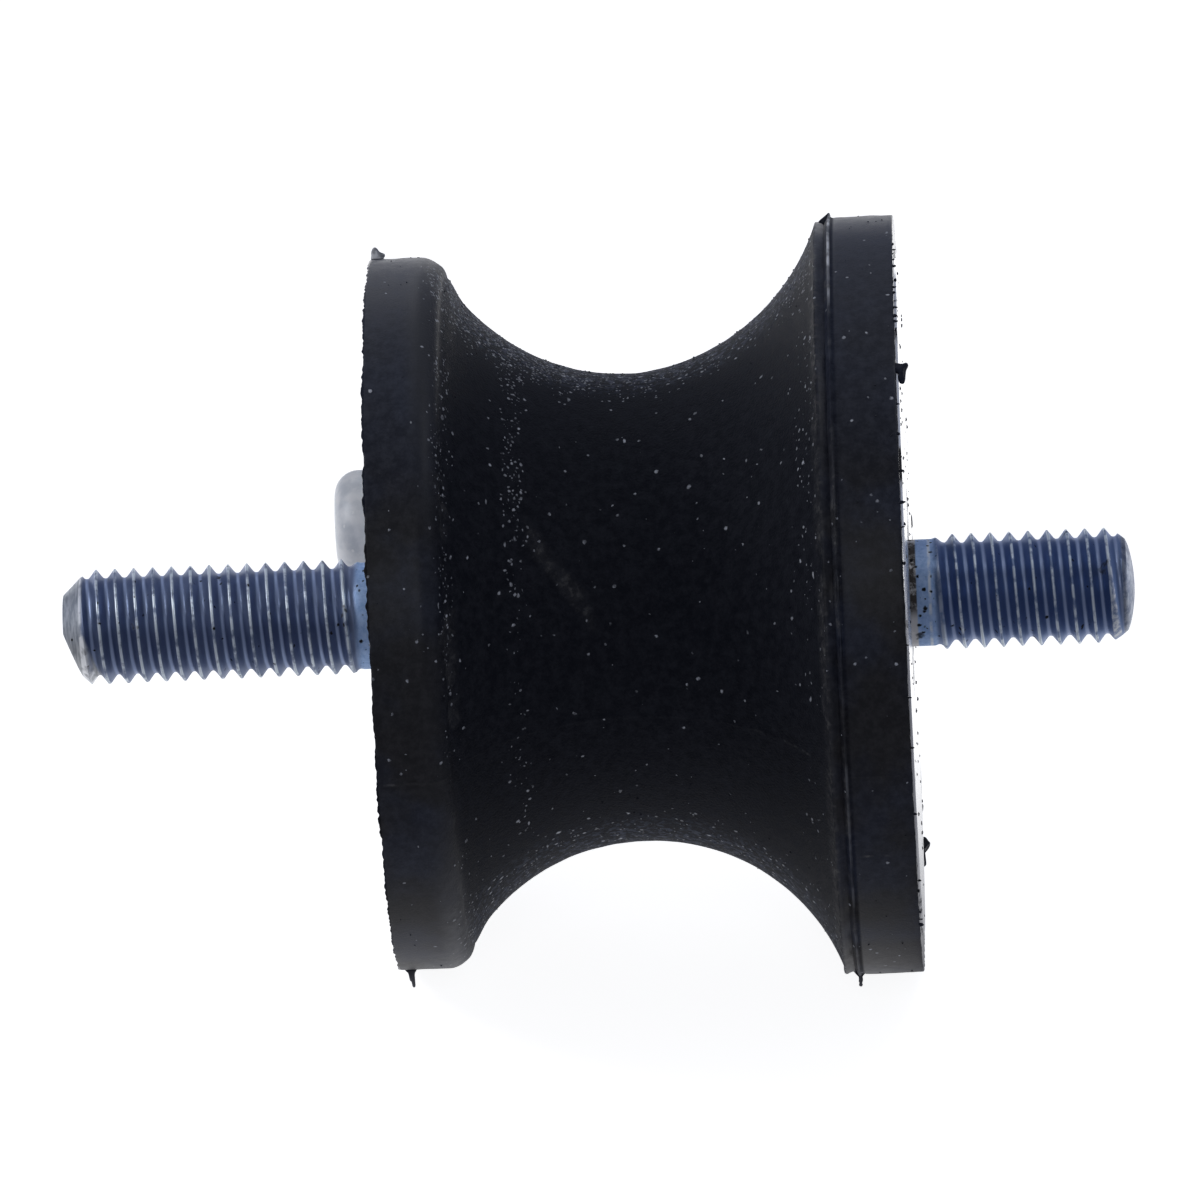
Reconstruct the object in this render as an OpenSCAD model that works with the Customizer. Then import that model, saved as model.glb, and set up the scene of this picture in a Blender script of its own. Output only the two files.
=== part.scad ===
// Bonded rubber mount for a gearbox: a waisted rubber spool with a steel plate in each end,
// a threaded stud standing out of each plate and one locating pin beside the longer stud.
// X runs along the studs, Y points at the locating pin, and the origin is the middle of the
// pin-side plate's outer face.

/* [Overall] */
// Distance between the outer faces of the two plates
seat_length = 34.8; // [33:0.2:42]

/* [Rubber] */
// Diameter of the flange on the locating pin's side
small_flange_d = 47; // [46:0.5:52]
// Thickness of the flange on the locating pin's side
small_flange_t = 4.8; // [4.6:0.1:6]
// Rounding of that flange's inner corner
small_flange_round = 1.7; // [1:0.1:2.4]
// Diameter of the flange on the plain side
large_flange_d = 50; // [48:0.5:56]
// Width of the straight band round the plain side's flange
large_band_w = 4.4; // [3.8:0.1:6]
// Diameter of the waist
waist_d = 31; // [27:0.5:36]
// Width of the rubber lip round each plate
lip_w = 2.5; // [1.8:0.1:3]
// How far the rubber lip lies behind the plate's face
lip_recess = 0.15; // [0.1:0.05:0.4]

/* [Mould marks] */
// Width of the sunk strip beside the plain side's band
seam_w = 0.75; // [0.5:0.05:1]
// Depth of that strip below the band
seam_depth = 0.3; // [0.2:0.05:0.45]
// Radius of the flash bead along the strip's edge
bead_r = 0.22; // [0.15:0.01:0.3]
// How far the bead's middle lies below the band
bead_sink = 0.1; // [0.05:0.01:0.12]
// Turn of the mould's split from straight up toward the locating pin
split_angle = 24; // [0:1:45]
// Thickness of the flash tags left in the split
tag_t = 0.4; // [0.3:0.05:0.6]
// Width of the small flange's tags where they leave the rim
small_tag_w = 0.9; // [0.6:0.05:1.2]
// Width of the large flange's tags where they leave the rim
large_tag_w = 0.6; // [0.4:0.05:0.8]
// Height of the tag over the small flange
small_upper_tag_h = 0.8; // [0.4:0.05:1.2]
// Height of the tag under the small flange
small_lower_tag_h = 1.1; // [0.6:0.05:1.4]
// Height of the tag over the large flange
large_upper_tag_h = 0.3; // [0.25:0.05:0.6]
// Height of the tag under the large flange
large_lower_tag_h = 0.75; // [0.4:0.05:1]

/* [Plates] */
// Thickness of each plate
plate_t = 2.5; // [2:0.1:3]
// Break on each plate's outer edge
plate_edge = 0.12; // [0.05:0.01:0.3]

/* [Studs] */
// Outside diameter of both threads
thread_d = 8; // [7.6:0.1:8.6]
// Pitch of both threads
thread_pitch = 1.25; // [1:0.05:1.5]
// How much wider each pressed collar in a plate is than the thread or pin that it carries
collar_step = 0.6; // [0.4:0.1:1]
// Diameter of the head behind each plate
stud_head_d = 16; // [13:0.5:18]
// Thickness of the head behind each plate
stud_head_t = 3; // [2:0.1:4]
// Length of the long stud outside its plate
long_stud_length = 21.2; // [18:0.2:30]
// Length of the short stud outside its plate
short_stud_length = 14.8; // [12:0.2:22]
// Length of the long stud's chamfered point
long_point_h = 1.1; // [0.8:0.1:1.6]
// Diameter of the long stud's end face
long_end_d = 5.4; // [4.6:0.1:6]
// Tilt of the sheared half of the long stud's end
shear_angle = 21; // [10:1:28]
// How far from the stud's middle the sheared half begins
shear_start = 0.4; // [0.2:0.1:1]
// Length of the short stud's plain neck
short_neck_h = 1.4; // [1:0.1:2.2]
// Length of the short stud's rounded point
short_point_h = 2; // [1.6:0.1:2.6]
// Diameter of the short stud's end face
short_end_d = 5.3; // [4.6:0.1:6]

/* [Locating pin] */
// Diameter of the locating pin
pin_d = 7.4; // [6.6:0.1:8]
// Height of the locating pin above the plate
pin_h = 3.7; // [3:0.1:4.6]
// Rounding of the locating pin's shoulder
pin_round = 1.6; // [1:0.1:1.9]
// Distance of the locating pin from the studs
pin_offset = 15; // [14:0.25:15.5]
// Diameter of the pin's foot behind the plate
pin_foot_d = 10; // [9.25:0.25:11]
// Thickness of the pin's foot behind the plate
pin_foot_t = 1.2; // [0.8:0.1:1.6]

/* [Hidden] */
$fn = 96;
small_r = small_flange_d / 2;
large_r = large_flange_d / 2;
waist_r = waist_d / 2;
small_plate_r = small_r - lip_w;
large_plate_r = large_r - lip_w;
thread_r = thread_d / 2;
neck_r = thread_r - 0.38 * thread_pitch;
collar_r = thread_r + collar_step / 2;
pin_collar_r = (pin_d + collar_step) / 2;

// Where the rubber's faces, flanges and strip begin and end along the studs
rubber_start = lip_recess;
rubber_end = seat_length - lip_recess;
band_start = rubber_end - large_band_w;
seam_start = band_start - seam_w;
small_inner = rubber_start + small_flange_t;

// The waist is one arc: it leaves the small flange at the foot of its rounding, is tangent to
// the waist, and ends at the edge of the sunk strip
leave_r = small_r - small_flange_round;
arrive_r = large_r - seam_depth;
leave_h = leave_r - waist_r;
arrive_h = arrive_r - waist_r;
span = seam_start - small_inner;
ratio = arrive_h / leave_h;
constant = span * span + arrive_h * (arrive_h - leave_h);
root = sqrt(span * span - (1 - ratio) * constant);
run = abs(1 - ratio) < 0.001 ? constant / (2 * span) : (span - root) / (1 - ratio);
arc_r = (run * run + leave_h * leave_h) / (2 * leave_h);
arc_x = small_inner + run;

// Turns a shape drawn along Z so that it runs along +X from the given distance
module toward_plain_side(distance) {
    translate([distance, 0, 0])
        rotate([0, 90, 0])
            children();
}

// Turns a shape drawn along Z so that it runs along -X from the origin
module toward_pin_side() {
    rotate([0, -90, 0])
        children();
}

// Half section of the small flange with its rounded inner corner
module small_flange_section() {
    translate([0, rubber_start])
        square([small_r, small_flange_t - small_flange_round]);
    translate([0, rubber_start])
        square([leave_r, small_flange_t]);
    translate([leave_r, small_inner - small_flange_round])
        circle(r = small_flange_round);
}

// Half section of the waist: a block with the one arc taken out of it
module waist_section() {
    difference() {
        translate([0, small_inner - 1])
            square([max(leave_r, arrive_r) + 1, span + 1]);
        translate([waist_r + arc_r, arc_x])
            circle(r = arc_r);
    }
}

// Half section of the large flange: the sunk strip, the band and the flash bead between them
module large_flange_section() {
    translate([0, seam_start])
        square([arrive_r, seam_w + 1]);
    translate([0, band_start])
        square([large_r, large_band_w]);
    translate([large_r - bead_sink, band_start + bead_r])
        circle(r = bead_r);
}

// One flash tag: a thin tapering tongue that stands out of a rim in the mould's split
module flash_tag(along, rim_r, width, height, turn) {
    half = width / 2;
    rotate([turn, 0, 0])
        rotate([90, 0, 0])
            translate([along, rim_r, -tag_t / 2])
                linear_extrude(height = tag_t)
                    polygon([
                        [-half, -0.5],
                        [half, -0.5],
                        [half, 0],
                        [half * 0.45, height],
                        [-half * 0.45, height],
                        [-half, 0]
                    ]);
}

// The four tags lie in the one plane where the mould halves met
module flash_tags() {
    small_at = rubber_start + small_tag_w / 2;
    large_at = band_start + bead_r;
    flash_tag(small_at, small_r, small_tag_w, small_upper_tag_h, -split_angle);
    flash_tag(small_at, small_r, small_tag_w, small_lower_tag_h, 180 - split_angle);
    flash_tag(large_at, large_r, large_tag_w, large_upper_tag_h, -split_angle);
    flash_tag(large_at, large_r, large_tag_w, large_lower_tag_h, 180 - split_angle);
}

// Disc of one plate, drawn outward from its inner face
module plate_disc(radius) {
    cylinder(r = radius, h = plate_t - plate_edge);
    translate([0, 0, plate_t - plate_edge])
        cylinder(r1 = radius, r2 = radius - plate_edge, h = plate_edge);
}

module pin_side_disc() {
    translate([plate_t, 0, 0])
        toward_pin_side()
            plate_disc(small_plate_r);
}

module plain_side_disc() {
    toward_plain_side(seat_length - plate_t)
        plate_disc(large_plate_r);
}

// Head behind the plate and collar pressed through it, with the plate's outer face at zero
module stud_foot() {
    translate([0, 0, -plate_t - stud_head_t])
        cylinder(d = stud_head_d, h = stud_head_t);
    translate([0, 0, -plate_t - stud_head_t])
        cylinder(r = collar_r, h = plate_t + stud_head_t);
}

// Foot of the locating pin and its collar in the plate, with the plate's outer face at zero
module pin_foot() {
    translate([0, 0, -plate_t - pin_foot_t])
        cylinder(d = pin_foot_d, h = pin_foot_t);
    translate([0, 0, -plate_t - pin_foot_t])
        cylinder(r = pin_collar_r, h = plate_t + pin_foot_t);
}

module at_pin() {
    translate([0, pin_offset, 0])
        toward_pin_side()
            children();
}

// The rubber is moulded round the plates, the stud heads and the pin's foot
module rubber_body() {
    color([0.07, 0.075, 0.09])
        difference() {
            union() {
                toward_plain_side(0)
                    rotate_extrude() {
                        small_flange_section();
                        waist_section();
                        large_flange_section();
                    }
                flash_tags();
            }
            pin_side_disc();
            plain_side_disc();
            toward_pin_side()
                stud_foot();
            toward_plain_side(seat_length)
                stud_foot();
            at_pin()
                pin_foot();
        }
}

module pin_side_plate() {
    color([0.8, 0.82, 0.84])
        difference() {
            pin_side_disc();
            toward_pin_side()
                translate([0, 0, -plate_t - 1])
                    cylinder(r = collar_r, h = plate_t + 2);
            at_pin()
                translate([0, 0, -plate_t - 1])
                    cylinder(r = pin_collar_r, h = plate_t + 2);
        }
}

module plain_side_plate() {
    color([0.8, 0.82, 0.84])
        difference() {
            plain_side_disc();
            toward_plain_side(seat_length - plate_t - 1)
                cylinder(r = collar_r, h = plate_t + 2);
        }
}

// The long stud is threaded right up to its plate, and the lower half of its end is sheared off
module long_stud() {
    shoulder = long_stud_length - long_point_h;
    color([0.45, 0.52, 0.66])
        difference() {
            toward_pin_side() {
                stud_foot();
                cylinder(r = thread_r, h = shoulder);
                translate([0, 0, shoulder])
                    cylinder(r1 = thread_r, d2 = long_end_d, h = long_point_h);
            }
            rotate([-split_angle, 0, 0])
                translate([-long_stud_length, 0, -shear_start])
                    rotate([0, shear_angle, 0])
                        translate([-thread_d, -thread_d, -thread_d])
                            cube([thread_d, 2 * thread_d, 2 * thread_d]);
        }
}

// The short stud has a plain neck at its plate and a point with two slopes
module short_stud() {
    shoulder = short_stud_length - short_point_h;
    point_mid_r = thread_r * 0.45 + short_end_d * 0.275;
    color([0.45, 0.52, 0.66])
        toward_plain_side(seat_length) {
            stud_foot();
            cylinder(r = neck_r, h = short_neck_h);
            translate([0, 0, short_neck_h])
                cylinder(r1 = neck_r, r2 = thread_r, h = thread_r - neck_r);
            translate([0, 0, short_neck_h + thread_r - neck_r])
                cylinder(r = thread_r, h = shoulder - short_neck_h - thread_r + neck_r);
            translate([0, 0, shoulder])
                cylinder(r1 = thread_r, r2 = point_mid_r, h = short_point_h * 0.6);
            translate([0, 0, shoulder + short_point_h * 0.6])
                cylinder(r1 = point_mid_r, d2 = short_end_d, h = short_point_h * 0.4);
        }
}

// The pin is a flat-topped button with a rounded shoulder, pressed through the plate
module locating_pin() {
    color([0.62, 0.62, 0.6])
        at_pin() {
            pin_foot();
            rotate_extrude() {
                square([pin_d / 2, pin_h - pin_round]);
                square([pin_d / 2 - pin_round, pin_h]);
                translate([pin_d / 2 - pin_round, pin_h - pin_round])
                    intersection() {
                        circle(r = pin_round);
                        square(pin_round);
                    }
            }
        }
}

rubber_body();
pin_side_plate();
plain_side_plate();
long_stud();
short_stud();
locating_pin();
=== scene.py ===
# %% [markdown]
# # A rubber mount with two studs
# This lesson dresses a small bonded mount: a waisted spool of black rubber, a steel plate in each
# end, a threaded stud out of each plate and a grey locating pin. The solids come in as a fixed
# frame, so every new mesh is built in the same place and the same size.

import math
import random

import bmesh
import bpy
import numpy as np
from mathutils import Matrix, Vector, noise


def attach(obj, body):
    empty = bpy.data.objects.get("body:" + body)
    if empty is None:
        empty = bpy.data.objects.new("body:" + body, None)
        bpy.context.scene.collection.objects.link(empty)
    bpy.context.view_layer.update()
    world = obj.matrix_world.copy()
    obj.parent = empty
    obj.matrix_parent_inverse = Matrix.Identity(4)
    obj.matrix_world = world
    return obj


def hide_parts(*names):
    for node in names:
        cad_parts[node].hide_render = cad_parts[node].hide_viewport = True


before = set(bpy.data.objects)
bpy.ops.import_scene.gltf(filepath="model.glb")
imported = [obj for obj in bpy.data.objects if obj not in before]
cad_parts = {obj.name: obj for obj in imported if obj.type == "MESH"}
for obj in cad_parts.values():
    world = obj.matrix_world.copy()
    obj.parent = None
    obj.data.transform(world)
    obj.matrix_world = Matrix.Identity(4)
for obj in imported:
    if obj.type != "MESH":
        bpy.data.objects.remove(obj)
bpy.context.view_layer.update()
print("frame nodes:", sorted(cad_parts))

# %% [markdown]
# ## Sizes
# The frame is in metres, but a mount this small is easier to think about in millimetres, so the
# sizes below are millimetres and one factor turns them into metres. X runs along the studs, Y
# points at the locating pin, and the origin is the middle of the pin-side plate's outer face.

# %% Sizes in millimetres
MM = 0.001
SEAT_LENGTH = 34.8      # between the two plates' outer faces
LIP_RECESS = 0.15       # the rubber lip lies this far behind a plate's face
SMALL_R, LARGE_R = 23.5, 25.0
WAIST_R = 15.5
SMALL_T, SMALL_ROUND = 4.8, 1.7
BAND_W = 4.4
SEAM_W, SEAM_DEPTH = 0.75, 0.3
LIP_W = 2.5
PLATE_T = 2.5
THREAD_R, PITCH = 4.0, 1.25
COLLAR_R = 4.3
HEAD_R, HEAD_T = 8.0, 3.0
LONG_STUD, SHORT_STUD = 21.2, 14.8
SPLIT = math.radians(24.0)   # the mould's split, turned from straight up toward the pin

RUBBER_START = LIP_RECESS
RUBBER_END = SEAT_LENGTH - LIP_RECESS
BAND_START = RUBBER_END - BAND_W
SEAM_START = BAND_START - SEAM_W
SMALL_INNER = RUBBER_START + SMALL_T
print("rubber from", RUBBER_START, "to", RUBBER_END, "mm; band starts at", BAND_START)

# %% [markdown]
# ## Small helpers
# Every piece here ends the same way: its points become a mesh, the mesh becomes an object, and the
# object rides on the mount's one body.
# Most pieces are rings of points in a row, so one function makes the faces between rings.
# Rubber and rolled steel are never perfectly even, so a smooth repeatable noise is also needed.


# %% Helpers
def wobble(x, y, z, scale):
    """Smooth repeatable noise from -1 to 1 at a point in millimetres."""
    return noise.noise(Vector((x * scale, y * scale, z * scale)))


def ring_faces(rings, sides, closed=False):
    """Faces between rings of points; a closed row of rings also joins its last ring to its first."""
    faces = []
    for ring in range(rings if closed else rings - 1):
        here, there = ring * sides, (ring + 1) % rings * sides
        for k in range(sides):
            after = (k + 1) % sides
            faces.append((here + k, here + after, there + after, there + k))
    return faces


def joined(lumps):
    """Several pairs of points and faces as one pair."""
    verts, faces = [], []
    for more, cells in lumps:
        faces.extend(tuple(i + len(verts) for i in face) for face in cells)
        verts.extend(more)
    return verts, faces


def add_piece(name, verts_mm, faces, smooth_angle=40.0, weld=0.0002):
    """Weld the points, face the normals outward and add the piece to the scene."""
    bm = bmesh.new()
    points = [bm.verts.new(Vector(v) * MM) for v in verts_mm]
    for face in faces:
        if len(set(face)) > 2:
            bm.faces.new([points[i] for i in face])
    bmesh.ops.remove_doubles(bm, verts=bm.verts, dist=weld * MM)
    bmesh.ops.dissolve_degenerate(bm, edges=bm.edges, dist=weld * MM * 0.5)
    loose = [v for v in bm.verts if not v.link_faces]
    bmesh.ops.delete(bm, geom=loose, context="VERTS")
    bmesh.ops.recalc_face_normals(bm, faces=bm.faces)
    mesh = bpy.data.meshes.new(name)
    open_edges = sum(1 for e in bm.edges if not e.is_manifold)
    bm.to_mesh(mesh)
    bm.free()
    mesh.polygons.foreach_set("use_smooth", [True] * len(mesh.polygons))
    mesh.set_sharp_from_angle(angle=math.radians(smooth_angle))
    piece = bpy.data.objects.new(name, mesh)
    bpy.context.scene.collection.objects.link(piece)
    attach(piece, "root")
    print(name, len(mesh.polygons), "faces,", open_edges, "open edges")
    return piece


print("faces between three rings of four points:", len(ring_faces(3, 4)))

# %% [markdown]
# ## The rubber's section
# The spool was moulded, so its shape is one section turned about the studs. The section is drawn
# as a line of points from the floor of one plate's pocket to the floor of the other: lip, rim,
# band, rounded corner, the one big arc of the waist, the sunk strip with its flash, the wider band
# and the far lip. The arc touches the waist and ends at both flanges, so its radius is worked out
# from those, and no number for it has to be guessed.


# %% The waist's arc
def waist_arc():
    """Centre along X, centre radius and radius of the arc that joins the two flanges."""
    leave_h = SMALL_R - SMALL_ROUND - WAIST_R
    arrive_h = LARGE_R - SEAM_DEPTH - WAIST_R
    span = SEAM_START - SMALL_INNER
    ratio = arrive_h / leave_h
    constant = span * span + arrive_h * (arrive_h - leave_h)
    run = (span - math.sqrt(span * span - (1 - ratio) * constant)) / (1 - ratio)
    radius = (run * run + leave_h * leave_h) / (2 * leave_h)
    return SMALL_INNER + run, WAIST_R + radius, radius


ARC_X, ARC_CENTRE_R, ARC_R = waist_arc()
print("waist arc of radius", round(ARC_R, 2), "mm about x =", round(ARC_X, 2))


# %% The section as a line of points
def arc_points(cx, cr, radius, start, end, count):
    """Points (x, r) on an arc, angles in degrees from the X direction."""
    return [
        (cx + radius * math.cos(math.radians(a)), cr + radius * math.sin(math.radians(a)))
        for a in np.linspace(start, end, count)
    ]


def line_points(a, b, count):
    """Points from a up to, and not including, b."""
    steps = np.linspace(0, 1, count + 1)[:-1]
    return [(a[0] + (b[0] - a[0]) * t, a[1] + (b[1] - a[1]) * t) for t in steps]


RIM_EDGE = 0.22          # rounding of both outer rims
LIP_EDGE = 0.1           # rounding where a lip meets its plate
FIN_X, FIN_H = BAND_START + 0.2, 0.12   # thin fin of flash where the mould parts met
CREVICE_X = BAND_START - 0.14            # narrow crevice beside the fin


def rubber_section():
    """The spool's section as rows of (x, r, label); the label says which details a row gets."""
    rows = []

    def put(points, label):
        rows.extend((x, r, label) for x, r in points)

    small_plate_r, large_plate_r = SMALL_R - LIP_W, LARGE_R - LIP_W
    put([(PLATE_T, 0.0)] + line_points((PLATE_T, 4.0), (PLATE_T, small_plate_r), 4), "pocket")
    put([(PLATE_T, small_plate_r), (1.2, small_plate_r)], "pocket")
    put(arc_points(RUBBER_START + LIP_EDGE, small_plate_r + LIP_EDGE, LIP_EDGE, 270, 180, 3), "pin lip")
    put(line_points((RUBBER_START, small_plate_r + 0.5), (RUBBER_START, SMALL_R - RIM_EDGE), 5), "pin lip")
    put(arc_points(RUBBER_START + RIM_EDGE, SMALL_R - RIM_EDGE, RIM_EDGE, 180, 90, 6), "pin rim")
    put(line_points((0.6, SMALL_R), (SMALL_INNER - SMALL_ROUND, SMALL_R), 12), "band")
    put(arc_points(SMALL_INNER - SMALL_ROUND, SMALL_R - SMALL_ROUND, SMALL_ROUND, 90, 8, 14), "corner")
    start = math.degrees(math.atan2(SMALL_R - SMALL_ROUND - ARC_CENTRE_R, SMALL_INNER - ARC_X))
    end = math.degrees(math.atan2(LARGE_R - SEAM_DEPTH - ARC_CENTRE_R, SEAM_START - ARC_X))
    put(arc_points(ARC_X, ARC_CENTRE_R, ARC_R, start, end - 0.8, 68), "waist")
    strip_r = LARGE_R - SEAM_DEPTH
    put([(SEAM_START - 0.05, strip_r - 0.02), (SEAM_START + 0.06, strip_r + 0.05)], "ridge")
    put([(SEAM_START + 0.16, strip_r + 0.04)], "ridge")
    put(line_points((SEAM_START + 0.26, strip_r - 0.02), (CREVICE_X - 0.1, strip_r - 0.1), 3), "strip")
    put([(CREVICE_X - 0.05, strip_r - 0.12), (CREVICE_X, strip_r - 0.13)], "crevice")
    put([(CREVICE_X + 0.04, strip_r - 0.08)], "crevice")
    put([(CREVICE_X + 0.1, strip_r + 0.05)], "fin")
    put([(FIN_X - 0.12, LARGE_R - 0.03)], "fin")
    put(arc_points(FIN_X, LARGE_R + FIN_H - 0.07, 0.07, 170, 10, 5), "fin top")
    put([(FIN_X + 0.13, LARGE_R + 0.02), (FIN_X + 0.24, LARGE_R - 0.03)], "fin")
    put([(FIN_X + 0.36, LARGE_R - 0.01)], "band")
    put(line_points((BAND_START + 0.75, LARGE_R), (RUBBER_END - 0.45, LARGE_R), 12), "band")
    put(arc_points(RUBBER_END - RIM_EDGE, LARGE_R - RIM_EDGE, RIM_EDGE, 90, 0, 6), "plain rim")
    put(line_points((RUBBER_END, LARGE_R - 0.5), (RUBBER_END, large_plate_r + 0.3), 5), "plain lip")
    put(arc_points(RUBBER_END - LIP_EDGE, large_plate_r + LIP_EDGE, LIP_EDGE, 0, -90, 3), "plain lip")
    floor_x = SEAT_LENGTH - PLATE_T
    put([(SEAT_LENGTH - 1.2, large_plate_r), (floor_x, large_plate_r)], "pocket")
    put(line_points((floor_x, large_plate_r - 4), (floor_x, 3.0), 4) + [(floor_x, 0.0)], "pocket")
    return rows


SECTION = rubber_section()
print("section has", len(SECTION), "points")

# %% [markdown]
# ## The rubber spool
# Turning the section by hand, instead of with a Screw modifier, lets each point move a little on
# its way round: the trimmed rims are ragged, the flash fin comes and goes, the whole skin is
# slightly uneven, and a thin line of flash stands along the mould's split. The columns of points
# crowd together at the split so that this thin line has points to stand on.


# %% Turn the section into the spool
FACING = SPLIT - math.pi / 2    # the side of the spool that faces the camera
MOULD_LINES = [                 # angle round the spool and height of each line of flash
    (SPLIT, 0.07),
    (SPLIT + math.pi, 0.07),
    (FACING - math.radians(27.8), 0.07),
]


def spool_angles():
    """Angles round the spool, with extra columns close to the mould's split."""
    angles = set(np.round(np.linspace(0, 2 * math.pi, 384, endpoint=False), 6))
    for seam, _ in MOULD_LINES:
        for offset in (-1.0, -0.6, -0.35, -0.18, 0.0, 0.18, 0.35, 0.6, 1.0):
            angles.add(round((seam + math.radians(offset)) % (2 * math.pi), 6))
    return sorted(angles)


MOULD_LINE_W = 0.13
CORE_DROP, CORE_SHRINK = 0.17, 0.07   # the waist sat a little low in the mould and shrank
FILLED_X, FILLED_W = 5.2, 0.5         # the small flange's foot is filled out
FILLED_ABOVE, FILLED_BELOW = 0.5, 0.3
STRIP_FILL = 0.22                     # and so is the sunk strip at the lower side of the split
SLOW_SKIN, FAST_SKIN = 0.012, 0.006   # how uneven the whole skin is, over long and short stretches


def skin_shift(x, r, label, angle):
    """How far one point of the skin moves along X and away from the studs, in millimetres."""
    y, z = r * math.sin(angle), r * math.cos(angle)
    if label == "pocket":
        return 0.0, 0.0
    along, out = 0.0, SLOW_SKIN * wobble(x, y, z, 0.22) + FAST_SKIN * wobble(x, y, z, 1.4)
    if label in ("fin", "fin top"):
        along += 0.05 * wobble(2, y, z, 0.35)
    if label == "fin top":
        out += 0.09 * wobble(7, y, z, 0.5) - 0.05 + 0.05 * wobble(1, y, z, 1.6)
    if label in ("ridge", "strip", "crevice"):
        along += 0.06 * wobble(4, y, z, 0.3)
        out += 0.03 * wobble(6, y, z, 1.0) + STRIP_FILL * max(0.0, -math.cos(angle - SPLIT)) ** 40
    if label == "crevice":
        out += 0.12 * wobble(9, y, z, 0.45)
    if label == "waist":
        depth = math.cos((x - ARC_X) / (SEAM_START - SMALL_INNER) * math.pi) ** 2
        out -= depth * (CORE_SHRINK + CORE_DROP * math.cos(angle - SPLIT))
    if label in ("corner", "waist"):
        rise = math.cos(angle - SPLIT)
        filled = (FILLED_ABOVE if rise > 0 else FILLED_BELOW) * rise ** 2
        out += filled * math.exp(-((x - FILLED_X) / FILLED_W) ** 2)
    if label in ("band", "corner", "waist"):
        for seam, height in MOULD_LINES:
            away = (angle - seam + math.pi) % (2 * math.pi) - math.pi
            near = math.exp(-((away * r / MOULD_LINE_W) ** 2))
            out += height * near * (0.45 + 0.55 * wobble(x, seam, 0.0, 0.9))
    return along, out


def make_rubber_spool():
    """The whole rubber moulding, closed behind both plates."""
    angles = spool_angles()
    verts = []
    for x, r, label in SECTION:
        for angle in angles:
            along, out = skin_shift(x, r, label, angle)
            reach = min(r + out, LARGE_R + FIN_H) if r else 0.0
            verts.append((x + along, reach * math.sin(angle), reach * math.cos(angle)))
    faces = ring_faces(len(SECTION), len(angles))
    return add_piece("rubber_spool", verts, faces, smooth_angle=50.0)


rubber_spool = make_rubber_spool()
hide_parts("rubber_body")

# %% [markdown]
# ## Flash tags and torn flakes
# Where the mould parts met, rubber squeezed out and left four little tongues on the rims, and two
# torn flakes still hang on the plain-side rim. Each has an outline of its own, so each is drawn as
# an outline and then given a thickness: the outline itself runs round the middle of the flake, and
# a slightly smaller copy of it closes each side, so the edges come out soft.


# %% Flakes from outlines
FLAKE_LAYERS = [  # size of the outline's copy, and its depth as a share of the thickness
    (0.0, -0.5),
    (0.72, -0.5),
    (0.93, -0.3),
    (1.0, 0.0),
    (0.93, 0.3),
    (0.72, 0.5),
    (0.0, 0.5),
]


def soften(outline, rounds=2):
    """Cut the corners of a closed outline, which rounds it."""
    for _ in range(rounds):
        finer = []
        for (ax, ay), (bx, by) in zip(outline, outline[1:] + outline[:1]):
            finer.append((0.75 * ax + 0.25 * bx, 0.75 * ay + 0.25 * by))
            finer.append((0.25 * ax + 0.75 * bx, 0.25 * ay + 0.75 * by))
        outline = finer
    return outline


def make_flake(outline, place, thickness):
    """Points and faces of a soft flake; place(along, up, deep) turns flake millimetres into a point."""
    edge = soften(outline)
    middle_x = sum(x for x, up in edge) / len(edge)
    middle_up = sum(up for x, up in edge) / len(edge)
    verts = []
    for shrink, deep in FLAKE_LAYERS:
        for x, up in edge:
            x, up = middle_x + (x - middle_x) * shrink, middle_up + (up - middle_up) * shrink
            uneven = 0.12 * wobble(x, up, deep, 4.0)
            verts.append(place(x, up, (deep + uneven * shrink) * thickness))
    return verts, ring_faces(len(FLAKE_LAYERS), len(edge))


def standing_on_rim(at_x, rim_r, turn):
    """A place for a tongue that stands out from a rim at an angle."""

    def place(along, up, deep):
        r = rim_r + up
        y = r * math.sin(turn) + deep * math.cos(turn)
        z = r * math.cos(turn) - deep * math.sin(turn)
        return (at_x + along, y, z)

    return place


def hanging_on_face(at_x, r, up_mm, near):
    """A place for a flake on the plain-side rim, at a height in the picture."""

    def place(along, up, deep):
        tilt = math.asin((up_mm + up) / r)
        angle = FACING + tilt if near else FACING + math.pi - tilt
        return (at_x + along, (r + deep) * math.sin(angle), (r + deep) * math.cos(angle))

    return place


print("a softened triangle has", len(soften([(0, 0), (1, 0), (0, 1)])), "points")

# %% The four tags and two flakes
UP, DOWN = SPLIT, SPLIT + math.pi
PIN_TAG_UP = [
    (0.03, -0.4), (0.04, 0.3), (0.1, 0.68), (0.3, 0.86), (0.5, 0.74), (0.62, 0.5), (0.98, 0.38),
    (1.0, 0.2), (0.86, 0.06), (0.95, -0.4),
]
PIN_TAG_DOWN = [
    (0.1, -0.4), (0.2, 0.06), (0.42, 0.2), (0.5, 0.75), (0.62, 0.8), (0.66, 1.2), (0.88, 1.2),
    (0.86, 0.7), (0.84, 0.25), (1.0, 0.05), (1.1, -0.4),
]
PLAIN_TAG_UP = [(-0.95, -0.6), (-0.72, -0.18), (-0.2, 0.2), (-0.02, 0.38), (0.1, 0.2), (0.1, -0.6)]
PLAIN_TAG_DOWN = [
    (-0.6, -0.4), (-0.3, 0.02), (-0.14, 0.1), (-0.12, 0.35), (-0.15, 0.48), (-0.08, 0.6), (-0.16, 0.74),
    (0.0, 0.86), (0.14, 0.74), (0.08, 0.6), (0.16, 0.42), (0.12, 0.12), (0.32, 0.0), (0.5, -0.4),
]
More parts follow.
